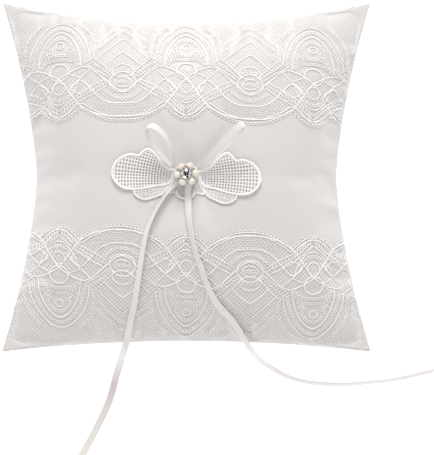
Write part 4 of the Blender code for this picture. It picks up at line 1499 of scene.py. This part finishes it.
RIGHT_TAIL = RibbonTail("right_ribbon_tail", (
    (0.0012, -0.0069, 0.0577), (0.0010, -0.0096, 0.0577), (0.0009, -0.0123, 0.0584),
    (0.0010, -0.0170, 0.0588), (0.0012, -0.0220, 0.0590), (0.0020, -0.0317, 0.0584),
    (0.0060, -0.0486, 0.0553), (0.0123, -0.0653, 0.0502), (0.0170, -0.0740, 0.0465),
    (0.0231, -0.0815, 0.0431), (0.0280, -0.0877, 0.0398), (0.0328, -0.0942, 0.0356),
    (0.0374, -0.1002, 0.0278), (0.0406, -0.1030, 0.0182), (0.0440, -0.1052, 0.0102),
    (0.0495, -0.1078, 0.0046), (0.0573, -0.1123, 0.0023), (0.0704, -0.1157, 0.0021),
    (0.0892, -0.1169, 0.0021), (0.1086, -0.1152, 0.0021), (0.1217, -0.1134, 0.0021),
    (0.1411, -0.1089, 0.0021), (0.1582, -0.1062, 0.0021)),
    ((0.0, 10), (0.05, 14), (0.10, 50), (0.23, 47), (0.30, 18), (0.37, 42), (0.5, 55), (0.62, 66), (0.75, 70),
     (1.0, 60)))


@dataclass
class Bow:
    """The ribbon bow: a knot round the button's shank, two loops and two long tails."""

    pillow: Pillow
    ribbon: float = 0.0040
    thickness: float = 0.00032
    crown: float = 0.00025
    lace_allowance: float = 0.0011  # what lies between the satin and a tail
    table_gap: float = 0.0003
    knot_bottom: float = 0.05565
    knot_radius: float = 0.0040
    root_height: float = 0.0022  # of the loops, above the bottom of the knot
    shank_clear: float = 0.0021
    loop_steps: int = 97
    loop_spacing: float = 0.0009
    gather: Pair = (0.008, 0.60)  # how far from the knot a loop is gathered, and to what share
    over_pillow: Pair = (0.0065, 0.002)  # nearer than this a tail lies on it, blended over the second
    over_table: Pair = (0.0045, 0.0015)  # the same for the table
    settle_rounds: int = 6
    tail_spacing: float = 0.0015
    turn_blend: int = 15  # points over which a turn is evened out
    root_blend: float = 0.007  # over which a tail leaves the knot
    cut_slant: float = 0.55
    wound_turns: float = 2.4
    wound_points: int = 120
    arm_setback: float = 0.0018  # from an arm's end to the root of its loop
    arm_half_gap: float = 0.0004
    knot_crown: float = 0.0001

    def _section(self) -> Points:
        """The ribbon's own outline."""
        return ribbon_section(self.ribbon, self.thickness, self.crown)

    def loop(self, drawn: RibbonLoop, finish: Material) -> Piece:
        """One loop, out along one side, round its tip and back to the knot.

        Args:
            drawn: the loop.
            finish: the ribbon's material.
        Returns:
            The loop.
        """
        out = Vector(drawn.tip) - Vector(drawn.root)
        length = out.length / math.cos(drawn.rise)
        out.normalize()
        side = Vector((out.y, -out.x, 0))
        ahead = Vector((*(out * math.cos(drawn.rise)), math.sin(drawn.rise)))
        up = side.cross(ahead)
        width = np.array(side * math.cos(drawn.roll) + up * math.sin(drawn.roll))
        opening = np.array(up * math.cos(drawn.roll) - side * math.sin(drawn.roll))
        root = np.array((drawn.root[0], drawn.root[1] + self.pillow.tuft_y,
                         self.knot_bottom + self.root_height))
        t = np.linspace(0, 2 * math.pi, self.loop_steps)
        fullest = 4 / (3 * math.sqrt(3))
        sideways = drawn.opening / 2 * np.sin(t) * np.sin(t / 2) / fullest + drawn.spread / 2 * np.cos(t / 2)
        forward = length * (1 - np.cos(t)) / 2
        line = evenly(root + forward[:, None] * np.array(ahead) + sideways[:, None] * opening,
                      self.loop_spacing)
        tangent = unit(np.gradient(line, axis=0))
        face = unit(np.cross(np.broadcast_to(width, line.shape), tangent))
        work = StrandMesh()
        from_end = np.minimum(along(line), along(line)[-1] - along(line))
        gathered = np.interp(from_end, (0, self.gather[0]), (self.gather[1], 1.0))
        work.sweep(line, face, self._section(), scale=gathered)
        made = dress(work.made(drawn.body + "_ribbon"), finish, drawn.body)
        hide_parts(drawn.node)
        return made

    def _settle(self, route: Points, turn: Array, cover: BVHTree) -> Points:
        """Lowers a route onto the pillow and the table, so that the turned ribbon just clears them.

        Args:
            route: the tail's route.
            turn: how far it is turned from flat at each point.
            cover: the pillow's surface.
        Returns:
            The settled route.
        """
        stand = self.ribbon / 2 * np.abs(np.sin(turn)) + self.thickness
        line = route.copy()
        for k, point in enumerate(route):
            near, normal, _, distance = cover.find_nearest(Vector(point))
            share = min(1.0, max(0.0, (self.over_pillow[0] - distance) / self.over_pillow[1]))
            over = np.array(near) + np.array(normal) * (self.lace_allowance + stand[k])
            line[k] = point + (over - point) * share
            floor = self.table_gap + stand[k]
            low = min(1.0, max(0.0, (self.over_table[0] - point[2]) / self.over_table[1]))
            line[k, 2] += (floor - line[k, 2]) * low
        start, end = line[0].copy(), line[-1].copy()
        for _ in range(self.settle_rounds):
            line[1:-1] = (line[:-2] + 2 * line[1:-1] + line[2:]) / 4
        line[0], line[-1] = start, end
        return line

    def tail(self, drawn: RibbonTail, cover: BVHTree, finish: Material) -> Piece:
        """One tail, over the pillow, past its seam and along the table to its slanted cut.

        Args:
            drawn: the tail.
            cover: the pillow's surface.
            finish: the ribbon's material.
        Returns:
            The tail.
        """
        route = evenly(smooth_curve(drawn.route), self.tail_spacing)
        share = along(route) / along(route)[-1]
        turn = np.radians(np.interp(share, *np.array(drawn.turns).T))
        kernel = np.hanning(self.turn_blend) / np.hanning(self.turn_blend).sum()
        turn = np.convolve(np.pad(turn, self.turn_blend // 2, mode="edge"), kernel, mode="valid")
        root = np.array(drawn.route[0])
        line = self._settle(route, turn, cover)
        knot = np.clip(1 - along(route) / self.root_blend, 0, 1)[:, None]
        line = line + (route - line) * knot
        line[0] = root
        tangent = unit(np.gradient(line, axis=0))
        flat = unit(np.cross(tangent, np.array((0.0, 0.0, 1.0))))
        lift = np.cross(flat, tangent)
        face = lift * np.cos(turn)[:, None] + flat * np.sin(turn)[:, None]
        work = StrandMesh()
        work.sweep(line, face, self._section())
        work.points[0] = self._cut(work.points[0].reshape(len(line), -1, 3), tangent[-1]).reshape(-1, 3)
        made = dress(work.made(drawn.node.replace("ribbon_tail", "tail_ribbon")), finish, "pillow")
        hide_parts(drawn.node)
        log.info("%s measures %.1f mm", made.name, along(line)[-1] / MM)
        return made

    def _cut(self, rings: Array, ahead: Array) -> Array:
        """Cuts the ribbon's far end on a slant.

        Args:
            rings: the ribbon's outline at each point.
            ahead: the direction in which it ends.
        Returns:
            The outlines.
        """
        last = rings[-1]
        middle = last.mean(0)
        across = unit(last[np.argmax(np.linalg.norm(last - middle, axis=1))] - middle)
        rings[-1] = last + ahead * ((last - middle) @ across)[:, None] * self.cut_slant
        return rings

    def knot(self, finish: Material) -> Piece:
        """Ribbon wound round the shank, with an arm on edge towards each loop.

        Args:
            finish: the ribbon's material.
        Returns:
            The knot.
        """
        work = StrandMesh()
        tuft, middle = self.pillow.tuft_y, self.knot_bottom + self.ribbon / 2
        turns = np.linspace(0, 2 * math.pi * self.wound_turns, self.wound_points)
        radius = np.linspace(self.shank_clear + 0.0003, self.knot_radius - 0.0006, len(turns))
        line = np.stack([radius * np.cos(turns), tuft + radius * np.sin(turns),
                         np.full(len(turns), middle) + self.knot_crown * np.sin(3 * turns)], 1)
        outward = np.stack([np.cos(turns), np.sin(turns), 0 * turns], 1)
        work.sweep(line, outward, ribbon_section(self.ribbon * 0.94, self.thickness, self.knot_crown))
        for drawn in (LEFT_LOOP, RIGHT_LOOP):
            root = np.array(drawn.root)
            start = root / np.linalg.norm(root) * self.knot_radius * 0.8
            end = root / np.linalg.norm(root) * (np.linalg.norm(root) - self.arm_setback)
            for offset in (-1, 1):
                across = np.array([-root[1], root[0]]) / np.linalg.norm(root) * self.arm_half_gap * offset
                flat = np.linspace(start + across, end + across, 6)
                arm = np.column_stack([flat[:, 0], flat[:, 1] + tuft, np.full(6, middle)])
                work.sweep(arm, np.array([*unit(across), 0.0]),
                           ribbon_section(self.ribbon * 0.9, self.thickness, self.knot_crown))
        made = dress(work.made("bow_knot_ribbon"), finish, "pillow")
        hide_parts("bow_knot")
        return made

    def build(self, cover: Piece, finish: Material) -> list[Piece]:
        """Makes the tails, the loops and the knot.

        Args:
            cover: the pillow that they lie on.
            finish: the ribbon's material.
        Returns:
            The pieces.
        """
        mesh = bmesh.new()
        mesh.from_mesh(cover.data)
        surface = BVHTree.FromBMesh(mesh)
        mesh.free()
        tails = [self.tail(drawn, surface, finish) for drawn in (LEFT_TAIL, RIGHT_TAIL)]
        loops = [self.loop(drawn, finish) for drawn in (LEFT_LOOP, RIGHT_LOOP)]
        return [*tails, *loops, self.knot(finish)]


# ------------------------------------------------------------------ button
@dataclass
class Button:
    """The button: a silver plate, six pearls and a crystal in a claw setting, sewn on through a shank."""

    tuft_y: float
    base_bottom: float = 0.05995
    base_top: float = 0.06075
    pearls: int = 6
    pearl_radius: float = 0.0020
    pearl_ring: float = 0.0051
    pearl_start: float = math.radians(5)
    crystal_radius: float = 0.0029
    girdle: float = 0.06495
    crown_height: float = 0.0011
    pavilion: float = 0.0024
    claw_count: int = 4
    wire: float = 0.00026
    gap: float = 0.0003  # between the plate and what stands on it, and from the cup's rim to the girdle
    facet: float = math.radians(22.5)
    bead_hole: Triple = (0.955, 0.00006, 0.00035)  # share of the radius, lip and depth
    bead_lean: float = math.radians(28)
    table_share: float = 0.55
    cup_foot: float = 0.0013
    cup_waist: float = 0.0019
    cup_play: float = 0.00015  # between the stone and the cup's rim
    cup_wall: float = 0.0003
    cup_bevel: float = 0.00006
    claw_bend: tuple[Pair, ...] = (  # share of the stone's radius and height over its girdle
        (1.0, -0.0022), (1.10, -0.0008), (1.13, 0.0000), (1.08, 0.0006), (0.93, 0.00095), (0.82, 0.00105))
    plate_radius: float = 0.0062
    plate_rim: Triple = (0.0005, 0.0002, 0.00015)  # width, slope and depth of the tray
    plate_scallop: float = 0.045
    plate_bevel: float = 0.00012

    def _placed(self, made: Piece, name: str, finish: Material, slot: str, *nodes: str) -> Piece:
        """Finishes a piece of the button and lets it stand for its nodes.

        Args:
            made: the piece.
            name: its name.
            finish: its material.
            slot: its material slot. Not used.
            nodes: the CAD nodes that it stands for.
        Returns:
            The same piece.
        """
        settled(made, name)
        dress(made, finish, "button")
        if nodes:
            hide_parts(*nodes)
        return made

    def pearl(self, number: int, finish: Material) -> Piece:
        """One bead, with the hole that its wire passes.

        Args:
            number: which pearl it is, from 1.
            finish: the pearl's material.
        Returns:
            The bead.
        """
        angle = self.pearl_start + 2 * math.pi * (number - 1) / self.pearls
        centre = Vector((self.pearl_ring * math.cos(angle), self.tuft_y + self.pearl_ring * math.sin(angle),
                         self.base_top + self.pearl_radius + self.gap))
        share, lip, depth = self.bead_hole
        bpy.ops.object.select_all(action="DESELECT")
        bpy.ops.mesh.primitive_uv_sphere_add(segments=24, ring_count=16, radius=self.pearl_radius)
        bead = bpy.context.object
        bpy.ops.object.mode_set(mode="EDIT")
        bpy.ops.mesh.select_mode(type="FACE")
        bpy.ops.mesh.select_all(action="DESELECT")
        shape = bmesh.from_edit_mesh(bead.data)
        for face in shape.faces:
            face.select = abs(face.calc_center_median().z) > self.pearl_radius * share
        bmesh.update_edit_mesh(bead.data)
        bpy.ops.mesh.dissolve_faces()
        bpy.ops.mesh.inset(thickness=lip)
        shape = bmesh.from_edit_mesh(bead.data)
        for face in [f for f in shape.faces if f.select]:
            for vertex in face.verts:
                vertex.co.z -= math.copysign(depth, vertex.co.z)
        bmesh.update_edit_mesh(bead.data)
        bpy.ops.object.mode_set(mode="OBJECT")
        bpy.ops.object.shade_smooth_by_angle(angle=math.radians(35))
        lean = Matrix.Rotation(self.bead_lean, 4, Vector((-math.sin(angle), math.cos(angle), 0)))
        bead.matrix_world = Matrix.Translation(centre) @ lean
        return self._placed(bead, f"pearl_bead_{number}", finish, "pearl", f"pearl_{number}")

    def crystal(self, wardrobe: Wardrobe) -> Piece:
        """The cut stone, its table of glass and its facets backed with bright foil, about one facet in three
        painted near black as a painted dark reflection.

        Args:
            wardrobe: the finishes.
        Returns:
            The stone.
        """
        bpy.ops.object.select_all(action="DESELECT")
        bpy.ops.mesh.primitive_circle_add(vertices=8, radius=self.crystal_radius * self.table_share,
                                          location=(0, self.tuft_y, self.girdle + self.crown_height),
                                          rotation=(0, 0, self.facet))
        stone = bpy.context.object
        bpy.ops.object.transform_apply(location=True, rotation=True, scale=True)
        bpy.ops.object.mode_set(mode="EDIT")
        rings = ((8, 0.80, self.crown_height * 0.62, 0.0), (16, 1.0, 0.00012, 11.25),
                 (16, 1.0, -0.00012, 11.25), (8, 0.56, -self.pavilion * 0.50, 0.0),
                 (8, 0.05, -self.pavilion, 22.5))
        for count, share, height, turn in rings:
            bpy.ops.mesh.primitive_circle_add(vertices=count, radius=self.crystal_radius * share,
                                              location=(0, self.tuft_y, self.girdle + height),
                                              rotation=(0, 0, math.radians(turn)))
        bpy.ops.mesh.select_all(action="SELECT")
        bpy.ops.mesh.convex_hull()
        bpy.ops.mesh.normals_make_consistent(inside=False)
        bpy.ops.object.mode_set(mode="OBJECT")
        bpy.ops.object.shade_flat()
        self._placed(stone, "crystal_stone", wardrobe["crystal"], "crystal", "crystal")
        stone.data.materials.append(wardrobe["foil"])
        stone.data.materials.append(wardrobe["shade"])
        # Painted reflection: about one facet in three gets the near-black finish in place of a dark
        # reflection; the rest get bright foil.
        for face in stone.data.polygons:
            if face.normal.z < 0.98:
                angle = math.atan2(face.center.y - self.tuft_y, face.center.x)
                step = int(math.floor(angle / self.facet))
                face.material_index = 2 if (step + (face.normal.z > 0)) % 3 == 0 else 1
        return stone

    def setting(self, finish: Material) -> Piece:
        """The conical cup, its rim and the claws that bend over the stone.

        Args:
            finish: the metal.
        Returns:
            The setting.
        """
        bpy.ops.object.select_all(action="DESELECT")
        foot, rim = self.base_top + self.gap, self.girdle - self.gap
        bpy.ops.mesh.primitive_circle_add(vertices=32, radius=self.cup_foot, location=(0, self.tuft_y, foot))
        cup = bpy.context.object
        bpy.ops.object.transform_apply(location=True)
        bpy.ops.object.mode_set(mode="EDIT")
        bpy.ops.mesh.select_all(action="SELECT")
        for height, radius in (((foot + rim) / 2, self.cup_waist),
                               (rim, self.crystal_radius + self.cup_play)):
            bpy.ops.mesh.extrude_region_move()
            shape = bmesh.from_edit_mesh(cup.data)
            for vertex in (v for v in shape.verts if v.select):
                away = Vector((vertex.co.x, vertex.co.y - self.tuft_y, 0)).normalized() * radius
                vertex.co = Vector((away.x, away.y + self.tuft_y, height))
            bmesh.update_edit_mesh(cup.data)
        bpy.ops.object.mode_set(mode="OBJECT")
        wall = cup.modifiers.new("wall", "SOLIDIFY")
        wall.thickness, wall.offset = self.cup_wall, 0.0
        softer = cup.modifiers.new("softer", "BEVEL")
        softer.width, softer.segments = self.cup_bevel, 2
        apply_all(cup)
        bpy.ops.object.shade_smooth_by_angle(angle=math.radians(40))
        work = StrandMesh()
        for claw in range(self.claw_count):
            angle = math.radians(45) + 2 * math.pi * claw / self.claw_count
            out = np.array((math.cos(angle), math.sin(angle)))
            route = [(*(out * self.crystal_radius * share + (0, self.tuft_y)), self.girdle + height)
                     for share, height in self.claw_bend]
            line = evenly(smooth_curve(route, steps=6), spacing=0.0002)
            tangent = np.array((-out[1], out[0], 0.0))
            taper = np.interp(np.linspace(0, 1, len(line)), (0, 0.6, 0.92, 1), (1, 1, 1.15, 0.5))
            work.sweep(line, tangent, Thread(self.wire * 2, self.wire * 2, 8).section(), scale=taper)
        claws = work.made("claws")
        only(cup)
        claws.select_set(True)
        bpy.ops.object.join()
        return self._placed(cup, "claw_setting", finish, "silver", "crystal_setting")

    def plate(self, finish: Material) -> Piece:
        """The plate under the pearls, a shallow tray with its edge scalloped between them.

        Args:
            finish: the metal.
        Returns:
            The plate.
        """
        bpy.ops.object.select_all(action="DESELECT")
        depth = self.base_top - self.base_bottom
        bpy.ops.mesh.primitive_cylinder_add(vertices=96, radius=self.plate_radius, depth=depth,
                                            location=(0, self.tuft_y, (self.base_top + self.base_bottom) / 2))
        plate = bpy.context.object
        bpy.ops.object.transform_apply(location=True)
        bpy.ops.object.mode_set(mode="EDIT")
        bpy.ops.mesh.select_mode(type="FACE")
        bpy.ops.mesh.select_all(action="DESELECT")
        shape = bmesh.from_edit_mesh(plate.data)
        for face in shape.faces:
            face.select = face.normal.z > 0.9
        bmesh.update_edit_mesh(plate.data)
        rim, slope, sunk = self.plate_rim
        bpy.ops.mesh.inset(thickness=rim)
        bpy.ops.mesh.inset(thickness=slope, depth=-sunk)
        bpy.ops.object.mode_set(mode="OBJECT")
        for vertex in plate.data.vertices:
            x, y = vertex.co.x, vertex.co.y - self.tuft_y
            angle = math.atan2(y, x) - self.pearl_start
            wave = 1 - self.plate_scallop * (0.5 - 0.5 * math.cos(self.pearls * angle))
            vertex.co.x, vertex.co.y = x * wave, y * wave + self.tuft_y
        softer = plate.modifiers.new("softer", "BEVEL")
        softer.width, softer.segments, softer.limit_method = self.plate_bevel, 2, "ANGLE"
        apply_all(plate)
        bpy.ops.object.shade_smooth_by_angle(angle=math.radians(35))
        return self._placed(plate, "pearl_plate", finish, "silver", "brooch_base")

    def build(self, wardrobe: Wardrobe) -> list[Piece]:
        """Makes the whole button and dresses the shank and the thread under it.

        Args:
            wardrobe: the finishes.
        Returns:
            The pieces.
        """
        made = [self.pearl(number, wardrobe["pearl"]) for number in range(1, self.pearls + 1)]
        made += [self.crystal(wardrobe), self.setting(wardrobe["silver"]),
                 self.plate(wardrobe["silver"])]
        for node, key, slot in (("brooch_shank", "silver", "silver"), ("sewing_thread", "thread", "thread")):
            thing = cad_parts[node]
            thing.data.materials.clear()
            thing.data.materials.append(wardrobe[key])
        return made


# ------------------------------------------------------------------ studio
@dataclass(frozen=True)
class SoftBox:
    """A square lamp that faces the pillow."""

    name: str
    place: Triple
    size: float
    power: float
    colour: Triple


@dataclass
class Studio:
    """The camera, the pale floor and the soft light."""

    target: Triple = (0.0174, -0.0289, 0.0243)
    elevation: float = math.radians(84)
    view_width: float = 0.2474
    distance: float = 5.0
    sensor: float = 0.036
    floor_size: float = 12.0
    floor_height: float = -0.0002
    floor_glow: float = 0.60  # which takes nearly all shadow off the floor
    sky: float = 0.60
    middle: Triple = (0, 0, 0.03)  # what the lamps face
    lamps: tuple[SoftBox, ...] = (
        SoftBox("key", (0.05, 1.5, 1.15), 0.9, 25.5, (1.0, 0.985, 0.97)),
        SoftBox("fill", (-0.2, -1.6, 1.3), 1.4, 9.5, (1.0, 0.99, 0.98)))

    def camera(self) -> None:
        """A long lens that looks down a little from the lower edge."""
        data = bpy.data.cameras.new("camera")
        made = bpy.data.objects.new("camera", data)
        bpy.context.scene.collection.objects.link(made)
        away = Vector((0, -math.cos(self.elevation), math.sin(self.elevation)))
        made.location = Vector(self.target) + away * self.distance
        made.rotation_euler = (math.pi / 2 - self.elevation, 0, 0)
        data.sensor_width = self.sensor * 1000
        data.sensor_fit = "HORIZONTAL"
        data.lens = data.sensor_width * self.distance / self.view_width
        data.clip_start, data.clip_end = 0.1, 50.0
        bpy.context.scene.camera = made

    def floor(self) -> None:
        """A plain pale floor that carries almost no shadow."""
        bpy.ops.object.select_all(action="DESELECT")
        bpy.ops.mesh.primitive_plane_add(size=self.floor_size, location=(0, 0, self.floor_height))
        floor = bpy.context.object
        floor.name = "floor"
        pale = bpy.data.materials.new("pale_floor")
        pale.use_nodes = True
        shader = pale.node_tree.nodes["Principled BSDF"]
        shader.inputs["Base Color"].default_value = (0.9, 0.9, 0.9, 1)
        shader.inputs["Roughness"].default_value = 0.9
        shader.inputs["Emission Color"].default_value = (1, 1, 1, 1)
        shader.inputs["Emission Strength"].default_value = self.floor_glow
        floor.data.materials.append(pale)

    def light(self, lamp: SoftBox) -> None:
        """Hangs a lamp and turns it to the pillow.

        Args:
            lamp: the lamp.
        """
        data = bpy.data.lights.new(lamp.name, "AREA")
        data.shape, data.size, data.energy, data.color = "SQUARE", lamp.size, lamp.power, lamp.colour
        made = bpy.data.objects.new(lamp.name, data)
        bpy.context.scene.collection.objects.link(made)
        made.location = lamp.place
        made.rotation_euler = (Vector(lamp.place) - Vector(self.middle)).to_track_quat("Z", "Y").to_euler()

    def build(self) -> None:
        """Sets up the studio."""
        self.camera()
        self.floor()
        for lamp in self.lamps:
            self.light(lamp)
        world = bpy.data.worlds.new("studio")
        world.use_nodes = True
        sky = world.node_tree.nodes["Background"]
        sky.inputs["Color"].default_value = (1.0, 1.0, 1.0, 1)
        sky.inputs["Strength"].default_value = self.sky
        bpy.context.scene.world = world
        bpy.context.scene.view_settings.view_transform = "Standard"


# ------------------------------------------------------------------ the whole
def main() -> None:
    """Builds the studio and every piece, in order."""
    logging.basicConfig(level=logging.INFO, format="%(name)s: %(message)s")
    Studio().build()
    wardrobe = Wardrobe()
    pillow = Pillow()
    cover = pillow.build(wardrobe["satin"])
    Bow(pillow).build(cover, wardrobe["ribbon"])
    for name, edge, side, drift in (("upper_lace", UPPER_EDGE, 1, UPPER_DRIFT),
                                    ("lower_lace", LOWER_EDGE, -1, LOWER_DRIFT)):
        LaceBand(name, name + "_band", pillow, edge, side, drift).build(wardrobe)
    Butterfly(pillow).build(wardrobe["stitch"])
    Button(pillow.tuft_y).build(wardrobe)


if __name__ == "__main__":
    main()
